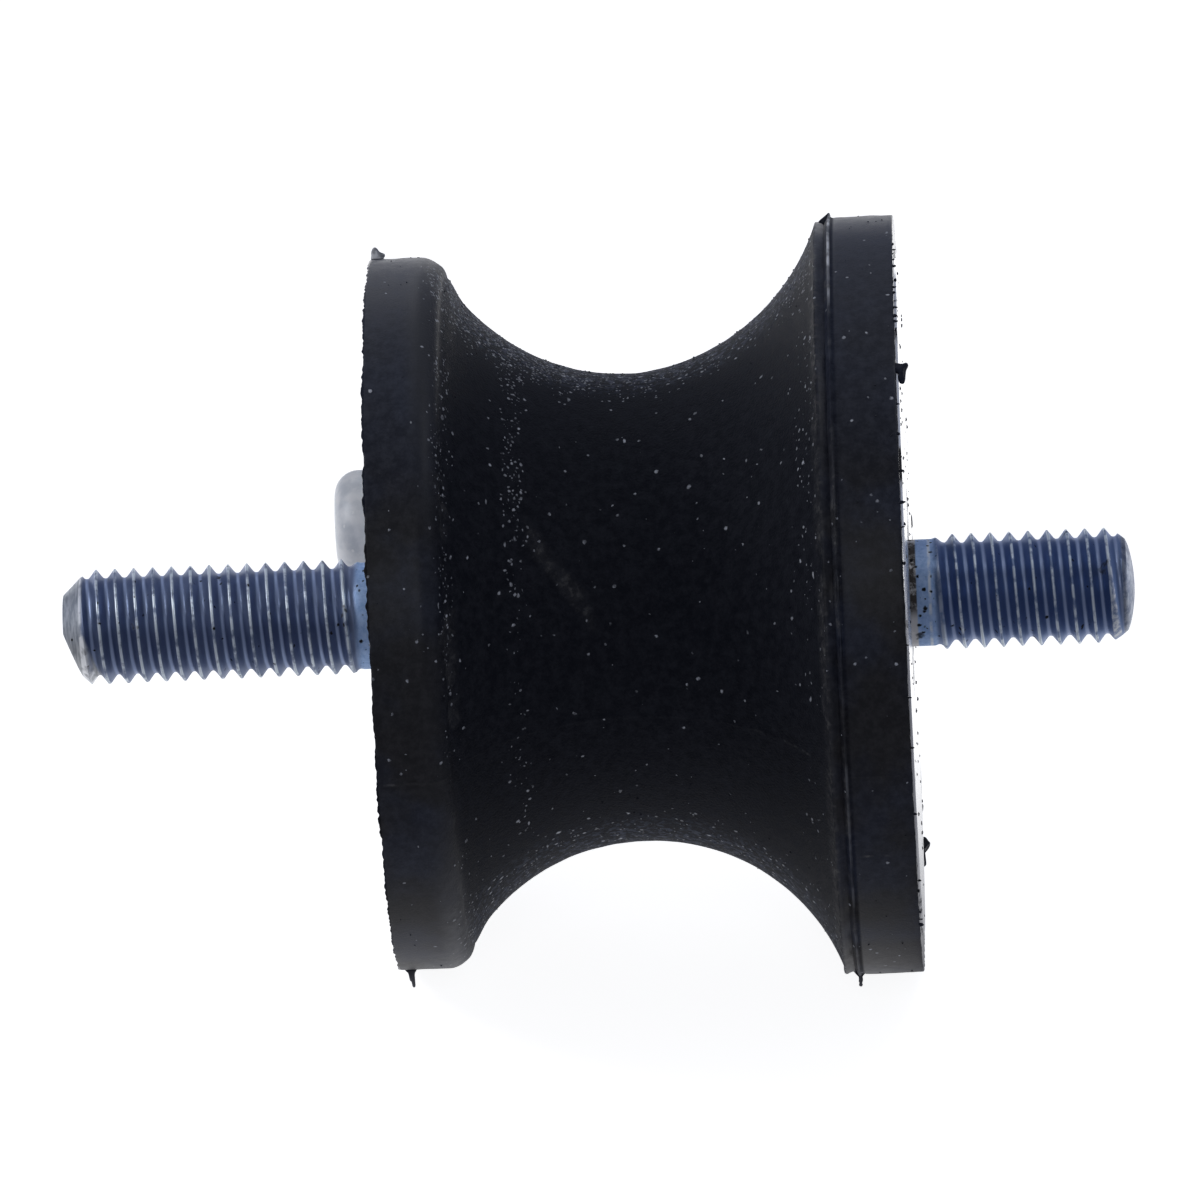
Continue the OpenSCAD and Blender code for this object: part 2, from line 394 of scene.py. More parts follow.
NEAR_FLAKE = [
    (-0.15, 0.72), (0.45, 0.6), (0.75, 0.72), (0.88, 0.48), (0.68, 0.2), (0.6, -0.7), (0.26, -0.7),
    (0.1, -0.3), (0.2, 0.0), (-0.15, 0.15),
]
FAR_FLAKE = [
    (-0.2, 1.0), (0.26, 0.95), (0.44, 0.7), (0.64, 0.46), (0.3, 0.2), (0.1, -0.1), (0.08, -0.45),
    (0.3, -0.8), (0.2, -1.0), (-0.2, -1.1),
]
FLAKES = [
    (PIN_TAG_UP, standing_on_rim(RUBBER_START - 0.13, SMALL_R, UP), 0.36),
    (PIN_TAG_DOWN, standing_on_rim(RUBBER_START, SMALL_R, DOWN), 0.32),
    (PLAIN_TAG_UP, standing_on_rim(FIN_X, LARGE_R, UP), 0.3),
    (PLAIN_TAG_DOWN, standing_on_rim(FIN_X, LARGE_R, DOWN), 0.22),
    (NEAR_FLAKE, hanging_on_face(RUBBER_END, 24.75, 14.2, near=True), 0.34),
    (FAR_FLAKE, hanging_on_face(RUBBER_END, 24.5, -17.4, near=False), 0.4),
]


def make_flash_tags():
    """All tags and flakes as one piece."""
    verts, faces = joined(make_flake(*flake) for flake in FLAKES)
    return add_piece("flash_tags", verts, faces, smooth_angle=75.0)


flash_tags = make_flash_tags()

# %% [markdown]
# ## Ragged flash
# Rubber crept into every gap of the mould. Both rims were trimmed by tearing, so their edges are
# jagged, and patches of thin rubber climb over the plates' edges. All four are closed rings whose
# reach changes from step to step; many short steps are needed for a jagged edge, so the rings are
# pieces of their own and the spool itself can stay lighter.


# %% Rings of flash
RIM_STEPS = 1500
LOBE_ANGLE = FACING + math.radians(38.0)


def closed_ring(name, section_at, steps, smooth_angle):
    """A closed ring of rubber; section_at(angle) gives its (x, r) points, always as many."""
    verts = []
    for i in range(steps):
        angle = 2 * math.pi * i / steps
        section = section_at(angle)
        verts.extend((x, r * math.sin(angle), r * math.cos(angle)) for x, r in section)
    faces = ring_faces(steps, len(section), closed=True)
    return add_piece(name, verts, faces, smooth_angle=smooth_angle)


def make_rim_flash(name, rim_x, rim_r, outward, reach, lobe, salt):
    """The torn edge along a rim, standing out from the rubber's face by up to the reach.

    The lobe is a slow extra reach on the upper part of the side that faces the camera.
    """

    def section_at(angle):
        y, z = rim_r * math.sin(angle), rim_r * math.cos(angle)
        torn = 0.42 + 0.5 * wobble(salt, y, z, 0.8) + 0.45 * wobble(salt + 3, y, z, 1.9)
        torn += 0.35 * wobble(salt + 6, y, z, 3.6)
        stand = reach * min(max(torn, 0.0), 1.0) + lobe * max(math.cos(angle - LOBE_ANGLE), 0.0) ** 10
        return [
            (rim_x - outward * 0.5, rim_r - 0.005),
            (rim_x - outward * 0.14, rim_r + 0.006),
            (rim_x + outward * (stand - 0.03), rim_r - 0.02),
            (rim_x + outward * stand, rim_r - 0.06),
            (rim_x + outward * stand * 0.6, rim_r - 0.17),
            (rim_x - outward * 0.02, rim_r - 0.5),
            (rim_x - outward * 0.25, rim_r - 0.45),
        ]

    return closed_ring(name, section_at, RIM_STEPS, 45.0)


def make_plate_creep(name, face_x, plate_r, outward, salt):
    """Patches of thin rubber that climb from the lip onto a plate's edge."""

    def section_at(angle):
        y, z = plate_r * math.sin(angle), plate_r * math.cos(angle)
        far = 0.5 - 0.5 * math.cos(angle - FACING)
        cover = 0.85 * far - 0.42 + 0.9 * wobble(salt, y, z, 0.35) + 0.5 * wobble(salt + 4, y, z, 1.2)
        cover = min(max(cover + 0.3 * wobble(salt + 8, y, z, 2.8), 0.0), 1.0)
        top = face_x + outward * ((0.02 + 0.07 * far) * cover - 0.18 * (1 - cover))
        return [
            (top - outward * 0.01, plate_r + 0.05 - 0.4 * cover),
            (top, plate_r + 0.1 - 0.36 * cover),
            (top - outward * 0.03 * cover, plate_r + 0.14),
            (face_x - outward * 0.17, plate_r + 0.16 + 0.3 * cover),
            (face_x - outward * 0.5, plate_r + 0.1),
            (face_x - outward * 0.5, plate_r + 0.02),
        ]

    return closed_ring(name, section_at, RIM_STEPS, 60.0)


pin_side_flash = make_rim_flash("pin_side_flash", RUBBER_START, SMALL_R, -1, 0.20, 0.03, 2)
plain_side_flash = make_rim_flash("plain_side_flash", RUBBER_END, LARGE_R, 1, 0.05, 0.0, 31)
pin_side_creep = make_plate_creep("pin_side_creep", 0.0, SMALL_R - LIP_W, -1, 1)
plain_side_creep = make_plate_creep("plain_side_creep", SEAT_LENGTH, LARGE_R - LIP_W, 1, 21)

# %% [markdown]
# ## Crumbs
# Small torn bits line the plain-side rim and finer grains cling everywhere. Each is an uneven lump.
# The bits along the rim have their own places; the grains are scattered by a seeded generator, so
# they fall in the same places in every run.


# %% Crumbs
def lump(centre, size):
    """An uneven lump with its own half sizes along X, Y and Z."""
    bm = bmesh.new()
    bmesh.ops.create_icosphere(bm, subdivisions=2, radius=1.0)
    verts = []
    for v in bm.verts:
        swell = 1.0 + 0.45 * noise.noise(v.co * 1.6 + Vector(centre) * 3.0)
        verts.append(tuple(centre[k] + v.co[k] * size[k] * swell for k in range(3)))
    faces = [tuple(v.index for v in f.verts) for f in bm.faces]
    bm.free()
    return verts, faces


RIM_BIT_HEIGHTS = [  # heights in the picture, above and below the studs
    23.0, 22.5, 22.2, 21.6, 21.1, 20.6, 20.1, 19.5, 19.2, 18.6, 18.1, 17.6, 17.2, 12.1, 10.2, 8.0, 5.9,
    4.2, 1.7, -3.4, -6.5, -9.8, -14.2, -18.8, -19.5, -20.6, -21.1, -21.6,
]
PLATE_BITS = 90
GRAINS = 420
TOP_CRUMBS = [2.69, 3.2]    # places along X of two crumbs on top of the small flange


def waist_radius(x):
    """Radius of the waist's surface at a place along the studs."""
    return ARC_CENTRE_R - math.sqrt(ARC_R ** 2 - (x - ARC_X) ** 2)


def make_crumbs():
    """All crumbs as one piece: the torn ones first, then the scattered grains."""
    dice = random.Random(7)
    on_rim = hanging_on_face(RUBBER_END, LARGE_R - 0.06, 0.0, near=True)
    spots = []
    for height in RIM_BIT_HEIGHTS:
        place = on_rim(dice.uniform(0.0, 0.16), height + dice.uniform(-0.25, 0.25), 0.0)
        across = dice.uniform(0.05, 0.13)
        spots.append((place, (dice.uniform(0.05, 0.24), across, across)))
    for _ in range(PLATE_BITS):
        angle, r = dice.uniform(0, 2 * math.pi), 22.2 * math.sqrt(dice.uniform(0.08, 1.0))
        big = dice.uniform(0.03, 0.09)
        place = (SEAT_LENGTH, r * math.sin(angle), r * math.cos(angle))
        spots.append((place, (big, big * 1.6, big * 1.6)))
    for x in TOP_CRUMBS:
        spots.append(((x, SMALL_R * math.sin(SPLIT), SMALL_R * math.cos(SPLIT)), (0.09, 0.07, 0.07)))
    for number in range(GRAINS):
        angle = dice.uniform(0, 2 * math.pi)
        big = dice.uniform(0.03, 0.075)
        kind = number % 8
        if kind < 6:
            x = dice.uniform(SMALL_INNER + 0.2, SEAM_START - 0.2)
            if kind > 2:
                angle = SPLIT + dice.gauss(0.0, 0.14)
            r = waist_radius(x)
            r += skin_shift(x, r, "waist", angle)[1]
        elif kind == 6:
            x, r = dice.uniform(0.6, 3.0), SMALL_R
        else:
            x, r = dice.uniform(BAND_START + 0.9, RUBBER_END - 0.4), LARGE_R
        spots.append(((x, r * math.sin(angle), r * math.cos(angle)), (big, big, big)))
    verts, faces = joined(lump(*spot) for spot in spots)
    return add_piece("rubber_crumbs", verts, faces, smooth_angle=80.0)


rubber_crumbs = make_crumbs()

# %% [markdown]
# ## Rolled threads
# Both studs carry a coarse 8 mm thread that was rolled, so its crests are a little rounded and its
# roots are round. A Screw modifier would turn one tooth into a spring, but the ends would be open.
# Here the rows of points follow the helix, and rows that would pass either end of the stud are held
# at that end, so the thread runs cleanly into the plate and into the chamfered point.

# %% One tooth and the points round a turn
CREST_R, ROOT_R = 3.8, 3.2
TOOTH_PHASE = [0.0, 0.03, 0.055, 0.085, 0.17, 0.28, 0.385, 0.44, 0.5]
TOOTH_RADIUS = [
    CREST_R, CREST_R - 0.006, CREST_R - 0.03, CREST_R - 0.085, 3.57, 3.39, 3.24, ROOT_R + 0.012, ROOT_R,
]
TIP_SHARES = (0.88, 0.74, 0.58, 0.42, 0.24, 0.0)   # rings that close a stud's end, as shares of its radius
HIDDEN_HEAD = [  # depth behind the plate's face, radius
    (0.0, COLLAR_R),
    (PLATE_T, COLLAR_R),
    (PLATE_T, HEAD_R),
    (PLATE_T + HEAD_T, HEAD_R),
    (PLATE_T + HEAD_T, 0.0),
]
ROW_PHASES = [-p for p in reversed(TOOTH_PHASE[1:])] + TOOTH_PHASE[:-1]
TURN_COLUMNS = 120
TURN_ANGLES = [2 * math.pi * j / TURN_COLUMNS for j in range(TURN_COLUMNS)]
print("rows in one pitch:", len(ROW_PHASES))


def tooth_radius(phase):
    """Thread radius at a phase of -0.5 to 0.5, with the crest at 0."""
    return float(np.interp(abs(phase), TOOTH_PHASE, TOOTH_RADIUS))


# %% Skin of a thread
CREST_BAND, CREST_DENT = 0.04, 0.02      # how deep below the crest it is worn, and how far


def stud_rows(x_low, x_high, crest_x):
    """Row heights along the helix at angle zero, from below x_low to above x_high."""
    first = math.floor((x_low - crest_x) / PITCH) - 2
    last = math.ceil((x_high - crest_x) / PITCH) + 2
    return [crest_x + PITCH * (turn + phase) for turn in range(first, last) for phase in ROW_PHASES]


def skin_radius(x, angle, crest_x, shape):
    """Radius of the thread at a place along the stud and an angle round it, with uneven crests."""
    phase = ((x - crest_x) / PITCH - angle / (2 * math.pi) + 0.5) % 1.0 - 0.5
    r = tooth_radius(phase)
    if r > CREST_R - CREST_BAND:
        r += CREST_DENT * wobble(x, math.cos(angle) * 4, math.sin(angle) * 4, 1.6)
    return shape(x, r)


def skin_points(rows, x_low, x_high, crest_x, shape, cut):
    """Points of the thread, row by row up the helix and held between both ends."""
    points = []
    for height in rows:
        for angle in TURN_ANGLES:
            x = min(max(height + PITCH * angle / (2 * math.pi), x_low), x_high)
            r = skin_radius(x, angle, crest_x, shape)
            points.append(cut(x, r * math.cos(angle), r * math.sin(angle)))
    return points


def skin_faces(row_count):
    """Faces between the rows; a row's last column meets the first column of the next turn."""
    per_turn = len(ROW_PHASES)
    faces = []
    for row in range(row_count - 1):
        for j in range(TURN_COLUMNS):
            a, d = row * TURN_COLUMNS + j, (row + 1) * TURN_COLUMNS + j
            if j < TURN_COLUMNS - 1:
                faces.append((a, a + 1, d + 1, d))
            elif row + per_turn + 1 < row_count:
                b, c = (row + per_turn) * TURN_COLUMNS, (row + per_turn + 1) * TURN_COLUMNS
                faces.append((a, b, c, d))
    return faces


print("rows on the long stud:", len(stud_rows(-LONG_STUD, 0.0, 0.0)))


# %% A whole stud
def close_end(verts, faces, start, rings, cut):
    """Close an end with rings of place along the stud and radius, from the row that begins at start."""
    for x, r in rings:
        ring = len(verts)
        verts.extend(cut(x, r * math.cos(angle), r * math.sin(angle)) for angle in TURN_ANGLES)
        for j in range(TURN_COLUMNS):
            k = (j + 1) % TURN_COLUMNS
            faces.append((start + j, start + k, ring + k, ring + j))
        start = ring


def make_threaded_stud(name, node, x_low, x_high, crest_x, shape, cut, foot_x, foot_side, tip_x):
    """A stud whose thread runs from x_low to x_high, with its hidden collar and head.

    crest_x is where a crest passes angle zero, shape(x, r) limits the radius, cut(x, y, z) moves
    points off a sheared end, foot_x is the plate's face, foot_side the direction to the head and
    tip_x the outermost point of the end.
    """
    rows = stud_rows(x_low, x_high, crest_x)
    verts = skin_points(rows, x_low, x_high, crest_x, shape, cut)
    faces = skin_faces(len(rows))
    low_row, high_row = 0, (len(rows) - 1) * TURN_COLUMNS
    tip_row, foot_row = (low_row, high_row) if foot_side > 0 else (high_row, low_row)
    end_x = x_low if foot_side > 0 else x_high
    tip_r = skin_radius(end_x, 0.0, crest_x, shape)
    tip = [(end_x + (tip_x - end_x) * (1 - share ** 2), tip_r * share) for share in TIP_SHARES]
    head = [(foot_x + foot_side * depth, r) for depth, r in HIDDEN_HEAD]
    close_end(verts, faces, tip_row, tip, cut)
    close_end(verts, faces, foot_row, head, cut)
    piece = add_piece(name, verts, faces, smooth_angle=38.0)
    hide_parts(node)
    return piece


# %% [markdown]
# ## The long stud
# Next to the plate the rolling dies stopped, so a short plain neck is left there, and the thread
# grows out of it over less than a turn. The end has a chamfer, and its lower half was sheared off
# at a slant, which shows in the photo as a blunt, lopsided point.

# %% Long stud
NECK_R, RUN_OUT = 3.53, 1.0
LONG_NECK_H = 1.5
LONG_POINT, LONG_END_R = 1.7, 2.2
SHEAR_SLOPE, SHEAR_START = math.tan(math.radians(21.0)), 0.4
IMAGE_UP = (0.0, math.sin(SPLIT), math.cos(SPLIT))
TOP_ANGLE = math.pi / 2 - SPLIT          # the split's upper side, as an angle from +Y toward +Z
LONG_CREST_TOP = -11.5                   # a crest that stands on the split's upper side


def run_out(t, r, neck_h):
    """Let the thread grow out of the plain neck: shallow roots first, with wide flat crests."""
    grown = min(max((t - neck_h) / RUN_OUT, 0.0), 1.0)
    if r < NECK_R:
        return NECK_R + (r - NECK_R) * grown
    return min(r, NECK_R + (CREST_R + 0.05 - NECK_R) * grown)


def long_shape(x, r):
    """Plain neck, thread run-out and chamfered point."""
    into_point = max(0.0, -x - (LONG_STUD - LONG_POINT))
    chamfer = CREST_R + 0.05 - (CREST_R + 0.05 - LONG_END_R) * into_point / LONG_POINT
    return min(run_out(-x, r, LONG_NECK_H), chamfer)


def long_cut(x, y, z):
    """Hold points behind the slanted shear on the lower half of the end."""
    below = -(y * IMAGE_UP[1] + z * IMAGE_UP[2]) - SHEAR_START
    return (max(x, -LONG_STUD + max(0.0, below) * SHEAR_SLOPE), y, z)


long_stud = make_threaded_stud(
    "long_threaded_stud", "long_stud", -LONG_STUD, 0.0,
    LONG_CREST_TOP - PITCH * TOP_ANGLE / (2 * math.pi), long_shape, long_cut, 0.0, 1, -LONG_STUD)

# %% [markdown]
# ## The short stud
# It has the same plain neck and run-out, and it ends in gentle slopes and a low crown.

# %% Short stud
NECK_H, NECK_LINE = 1.5, 1.3     # the neck, and a bright line that the dies left round it
SHORT_CROWN = 0.35               # the end's low crown
SHORT_POINT = [                  # how far before the end, radius
    (2.0, THREAD_R),
    (1.0, 3.4),
    (0.52, 3.02),
    (SHORT_CROWN, 2.6),
]
SHORT_CREST_TOP = 42.69


def short_shape(x, r):
    """Plain neck, thread run-out and the slopes of the point."""
    t = x - SEAT_LENGTH
    slopes = [SHORT_STUD - before for before, limit in SHORT_POINT]
    limit = np.interp(t, slopes, [limit for before, limit in SHORT_POINT])
    return min(run_out(t, r, NECK_H), float(limit))


def short_cut(x, y, z):
    """The short stud's end is whole, so no point moves."""
    return (x, y, z)


short_stud = make_threaded_stud(
    "short_threaded_stud", "short_stud", SEAT_LENGTH, SEAT_LENGTH + SHORT_STUD - SHORT_CROWN,
    SHORT_CREST_TOP - PITCH * TOP_ANGLE / (2 * math.pi), short_shape, short_cut, SEAT_LENGTH, -1,
    SEAT_LENGTH + SHORT_STUD)

# %% [markdown]
# ## Wiring helpers
# A finish is a net of small nodes. It could be drawn by hand in the shader editor, but then it could
# not be read or repeated. So each function below adds one kind of node, sets its values, wires its
# inputs and hands back its output, and a finish becomes a few lines of sums and ramps.


# %% Node helpers
def new_group(name, inputs, outputs):
    """An empty shader node group with float, vector or colour sockets."""
    group = bpy.data.node_groups.new(name, "ShaderNodeTree")
    for label, kind, value in inputs:
        socket = group.interface.new_socket(label, in_out="INPUT", socket_type=kind)
        if value is not None:
            socket.default_value = value
    for label, kind in outputs:
        group.interface.new_socket(label, in_out="OUTPUT", socket_type=kind)
    return group, group.nodes.new("NodeGroupInput"), group.nodes.new("NodeGroupOutput")


def math_node(tree, operation, a, b=None, clamp=False):
    """A Math node fed by sockets or plain numbers; returns its output."""
    node = tree.nodes.new("ShaderNodeMath")
    node.operation, node.use_clamp = operation, clamp
    for index, value in enumerate((a, b)):
        if value is None:
            continue
        if isinstance(value, (int, float)):
            node.inputs[index].default_value = value
        else:
            tree.links.new(value, node.inputs[index])
    return node.outputs[0]


def ramp(tree, value, low, high, to_low=0.0, to_high=1.0, smooth=True):
    """A Map Range from low..high to to_low..to_high; returns its output."""
    node = tree.nodes.new("ShaderNodeMapRange")
    node.interpolation_type = "SMOOTHSTEP" if smooth else "LINEAR"
    for index, number in ((1, low), (2, high), (3, to_low), (4, to_high)):
        node.inputs[index].default_value = number
    tree.links.new(value, node.inputs[0])
    return node.outputs[0]


def noise_value(tree, vector, scale, detail=2.0, roughness=0.55):
    """A Noise texture's value at a scale in cells per metre."""
    node = tree.nodes.new("ShaderNodeTexNoise")
    node.inputs["Scale"].default_value = scale
    node.inputs["Detail"].default_value = detail
    node.inputs["Roughness"].default_value = roughness
    tree.links.new(vector, node.inputs["Vector"])
    return node.outputs["Fac"]


def mix_colours(tree, factor, a, b):
    """Mix two colours, each a socket or a tuple, by a factor socket; returns the colour output."""
    node = tree.nodes.new("ShaderNodeMix")
    node.data_type = "RGBA"
    tree.links.new(factor, node.inputs["Factor"])
    for socket, value in ((node.inputs[6], a), (node.inputs[7], b)):
        if isinstance(value, tuple):
            socket.default_value = (*value, 1.0)
        else:
            tree.links.new(value, socket)
    return node.outputs[2]


print("node helpers:", [made.__name__ for made in (new_group, math_node, ramp, noise_value, mix_colours)])


# %% Sums on sockets
def times(tree, first, *more):
    """The product of sockets or plain numbers."""
    for factor in more:
        first = math_node(tree, "MULTIPLY", first, factor)
    return first


def plus(tree, first, *more):
    """The sum of sockets or plain numbers."""
    for term in more:
        first = math_node(tree, "ADD", first, term)
    return first


def larger(tree, first, *more):
    """The largest of sockets or plain numbers."""
    for other in more:
        first = math_node(tree, "MAXIMUM", first, other)
    return first


def off_from(tree, x, place_mm):
    """How far a position is from a place in millimetres, as a distance in metres."""
    return math_node(tree, "ABSOLUTE", math_node(tree, "SUBTRACT", x, place_mm * MM))


def ramp_mm(tree, value, low, high, to_low=0.0, to_high=1.0):
    """A smooth ramp between two distances in millimetres."""
    return ramp(tree, value, low * MM, high * MM, to_low, to_high)


def patches(tree, place, scale, low, high, to_low=0.0, to_high=1.0, detail=2.0, roughness=0.55):
    """Noise sharpened into patches between two of its levels."""
    return ramp(tree, noise_value(tree, place, scale, detail, roughness), low, high, to_low, to_high)


def drawn_out(tree, place, across):
    """The position squeezed across the studs, which draws a texture out round them."""
    node = tree.nodes.new("ShaderNodeVectorMath")
    node.operation = "MULTIPLY"
    node.inputs[1].default_value = (1.0, across, across)
    tree.links.new(place, node.inputs[0])
    return node.outputs[0]


print("sums on sockets:", [made.__name__ for made in (times, plus, larger, off_from)])

# %% [markdown]
# ## Shared effects
# Several finishes need the same two things: small loose specks, and a fine grain. Each is a node
# group, built once. The specks come from the cells of a Voronoi texture: every cell has a random
# colour, which decides whether it holds a speck at all and how large it is.


# %% Specks group
def make_specks_group():
    """Mask of loose specks: Cells per metre, Share of cells that hold one, Size within a cell."""
    group, inside, outside = new_group(
        "loose_specks",
        [("Vector", "NodeSocketVector", None), ("Cells", "NodeSocketFloat", 900.0),
         ("Share", "NodeSocketFloat", 0.1), ("Size", "NodeSocketFloat", 0.2)],
        [("Mask", "NodeSocketFloat")])
    cells = group.nodes.new("ShaderNodeTexVoronoi")
    bent = group.nodes.new("ShaderNodeTexNoise")
    bent.inputs["Scale"].default_value = 2600.0
    shift = group.nodes.new("ShaderNodeVectorMath")
    shift.operation = "MULTIPLY_ADD"
    shift.inputs[1].default_value = (0.0003, 0.0003, 0.0003)
    group.links.new(inside.outputs["Vector"], bent.inputs["Vector"])
    group.links.new(bent.outputs["Color"], shift.inputs[0])
    group.links.new(inside.outputs["Vector"], shift.inputs[2])
    group.links.new(shift.outputs[0], cells.inputs["Vector"])
    group.links.new(inside.outputs["Cells"], cells.inputs["Scale"])
    split = group.nodes.new("ShaderNodeSeparateColor")
    group.links.new(cells.outputs["Color"], split.inputs[0])
    chosen = math_node(group, "LESS_THAN", split.outputs[0], inside.outputs["Share"])
    swell = ramp(group, split.outputs[1], 0.0, 1.0, 0.35, 1.0, smooth=False)
    reach = times(group, swell, inside.outputs["Size"])
    depth = math_node(group, "SUBTRACT", reach, cells.outputs["Distance"])
    edge = math_node(group, "DIVIDE", depth, times(group, reach, 0.4), clamp=True)
    group.links.new(times(group, edge, chosen), outside.inputs["Mask"])
    return group


SPECKS = make_specks_group()
print("group", SPECKS.name, "has", len(SPECKS.nodes), "nodes")


# %% Grain group
def make_grain_group():
    """Fine grain: a Height for bump and a slow Blotch for colour and gloss, from 0 to 1."""
    group, inside, outside = new_group(
        "fine_grain",
        [("Vector", "NodeSocketVector", None), ("Grain", "NodeSocketFloat", 4000.0),
         ("Blotch", "NodeSocketFloat", 250.0)],
        [("Height", "NodeSocketFloat"), ("Blotch", "NodeSocketFloat")])
    fine = group.nodes.new("ShaderNodeTexNoise")
    fine.inputs["Detail"].default_value = 3.0
    slow = group.nodes.new("ShaderNodeTexNoise")
    slow.inputs["Detail"].default_value = 4.0
    for node, label in ((fine, "Grain"), (slow, "Blotch")):
        group.links.new(inside.outputs["Vector"], node.inputs["Vector"])
        group.links.new(inside.outputs[label], node.inputs["Scale"])
    group.links.new(fine.outputs["Fac"], outside.inputs["Height"])
    group.links.new(slow.outputs["Fac"], outside.inputs["Blotch"])
    return group


GRAIN = make_grain_group()
print("group", GRAIN.name, "has", len(GRAIN.nodes), "nodes")

# %% [markdown]
# ## Starting a finish
# Every finish starts with a Principled shader and the position of each point in the mount's frame.
# Two measures follow from that position: how far along the studs a point lies, and how far from their
# axis. With these, rings, crests and necks can be found without unwrapping or painting anything.


# %% Start a material
def start_material(name):
    """A new material: its tree, its Principled shader and its place in the frame."""
    material = bpy.data.materials.new(name)
    material.use_nodes = True
    tree = material.node_tree
    tree.nodes.clear()
    out = tree.nodes.new("ShaderNodeOutputMaterial")
    shader = tree.nodes.new("ShaderNodeBsdfPrincipled")
    tree.links.new(shader.outputs[0], out.inputs["Surface"])
    place = tree.nodes.new("ShaderNodeTexCoord").outputs["Object"]
    return material, tree, shader, place


def use_group(tree, group, vector, **values):
    """Place a group, feed it the position and set or link its other inputs."""
    node = tree.nodes.new("ShaderNodeGroup")
    node.node_tree = group
    tree.links.new(vector, node.inputs["Vector"])
    for label, value in values.items():
        if isinstance(value, (int, float)):
            node.inputs[label].default_value = value
        else:
            tree.links.new(value, node.inputs[label])
    return node


def bump(tree, shader, height, strength, distance_mm):
    """Feed a height to the shader's normal."""
    node = tree.nodes.new("ShaderNodeBump")
    node.inputs["Strength"].default_value = strength
    node.inputs["Distance"].default_value = distance_mm * MM
    tree.links.new(height, node.inputs["Height"])
    tree.links.new(node.outputs[0], shader.inputs["Normal"])
    return node


def away_from_studs(tree, place):
    """Distance of a point from the studs' axis, in metres."""
    flat = tree.nodes.new("ShaderNodeVectorMath")
    flat.operation = "MULTIPLY"
    flat.inputs[1].default_value = (0.0, 1.0, 1.0)
    tree.links.new(place, flat.inputs[0])
    length = tree.nodes.new("ShaderNodeVectorMath")
    length.operation = "LENGTH"
    tree.links.new(flat.outputs[0], length.inputs[0])
    return length.outputs["Value"]


def along_studs(tree, place):
    """Position of a point along the studs, in metres."""
    split = tree.nodes.new("ShaderNodeSeparateXYZ")
    tree.links.new(place, split.inputs[0])
    return split.outputs["X"]


print("a finish starts with:", [made.__name__ for made in (start_material, use_group, bump)])

# %% [markdown]
# ## Rubber
# The rubber is almost black with a cold tint, satin rather than shiny, and dusty. Pale specks lie
# all over it but gather in rings: in the corner beside the small flange, part way down the waist,
# and along the sunk strip. A ring is just a bump in the share of cells that hold a speck.

# %% Places and colours on the rubber
DUST_RINGS = [  # middle along X, half width, share of cells that hold a speck
    (9.4, 1.1, 1.0),
    (5.0, 0.9, 0.6),
    (28.6, 1.2, 0.24),
]
CHALK_AND_HIGHLIGHT_RINGS = [  # middle along X, half width, the noise level from which chalk lies there, strength; the rings on the seam's ridge and fin are partly a painted highlight
    (5.0, 0.9, 0.52, 0.7),
    (29.40, 0.5, 0.30, 0.75),
    (30.35, 0.35, 0.40, 0.8),
]
# each crease gets a pale line, a painted highlight on its low mould-line ridge
CREASES = [  # angle below the side that faces the camera, and where along X the crease runs
    (27.8, 0.3, 5.0),
    (27.8, 23.5, 29.0),
    (42.5, 30.8, 33.4),
]
UPPER_CORNER, LOWER_CORNER = (3.9, 1.4, 0.8), (4.3, 1.3, 0.75)   # haze in the upper corner, painted highlight in the lower corner: middle, half width, strength
SCUFF_X, SCUFF_UP, SCUFF_SLOPE = 12.3, 2.07, 1.39
SCUFF_HALF, SCUFF_FADE, SCUFF_END = 1.5, 1.3, 2.5
STRAY_SPECKS = 0.035            # share of cells that hold a speck anywhere
LIP_DEPTH = (0.01, 0.04)        # how deep a lip's gloss reaches from its face

COLD_RUBBER = ((0.018, 0.023, 0.042), (0.050, 0.058, 0.086))
WARM_RUBBER = ((0.015, 0.015, 0.018), (0.043, 0.042, 0.046))
HOLLOW_RUBBER = ((0.013, 0.015, 0.023), (0.034, 0.037, 0.048))
# painted sheen for the waist's top and bottom edges
PAINTED_EDGE_SHEEN = (0.11, 0.13, 0.185)
# haze of the upper corner, and the painted highlight along the lower corner's edge
CORNER_HAZE, LOW_CORNER_HIGHLIGHT = (0.058, 0.060, 0.066), (0.15, 0.155, 0.17)
# chalk colour, also used as the painted highlight on the seam's ridge, the fin and the creases
CHALK_AND_HIGHLIGHT = (0.17, 0.168, 0.168)
# near-white painted highlight for the fin's top and the torn rim
PAINTED_FLASH_HIGHLIGHT = (0.88, 0.90, 0.95)
DUST = (0.80, 0.83, 0.90)
print("rings of dust:", len(DUST_RINGS), "rings of chalk:", len(CHALK_AND_HIGHLIGHT_RINGS), "creases:", len(CREASES))


# %% Masks on the rubber
def ring_share(tree, x, middle, half, amount):
    """A ring round the spool: full in its middle, nothing beyond its half width."""
    return ramp_mm(tree, off_from(tree, x, middle), 0.0, half, amount, 0.0)


def toward(tree, place, angle):
    """How far a point lies toward one angle round the spool, in metres."""
    node = tree.nodes.new("ShaderNodeVectorMath")
    node.operation = "DOT_PRODUCT"
    node.inputs[1].default_value = (0.0, math.sin(angle), math.cos(angle))
    tree.links.new(place, node.inputs[0])
    return node.outputs["Value"]


def waist_mask(tree, x):
    """The hollow between the small flange's corner and the sunk strip."""
    into_waist = ramp_mm(tree, x, SMALL_INNER - 1.5, SMALL_INNER + 0.5)
    out_of_waist = ramp_mm(tree, x, SEAM_START - 0.1, SEAM_START + 0.15, 1.0, 0.0)
    return times(tree, into_waist, out_of_waist)


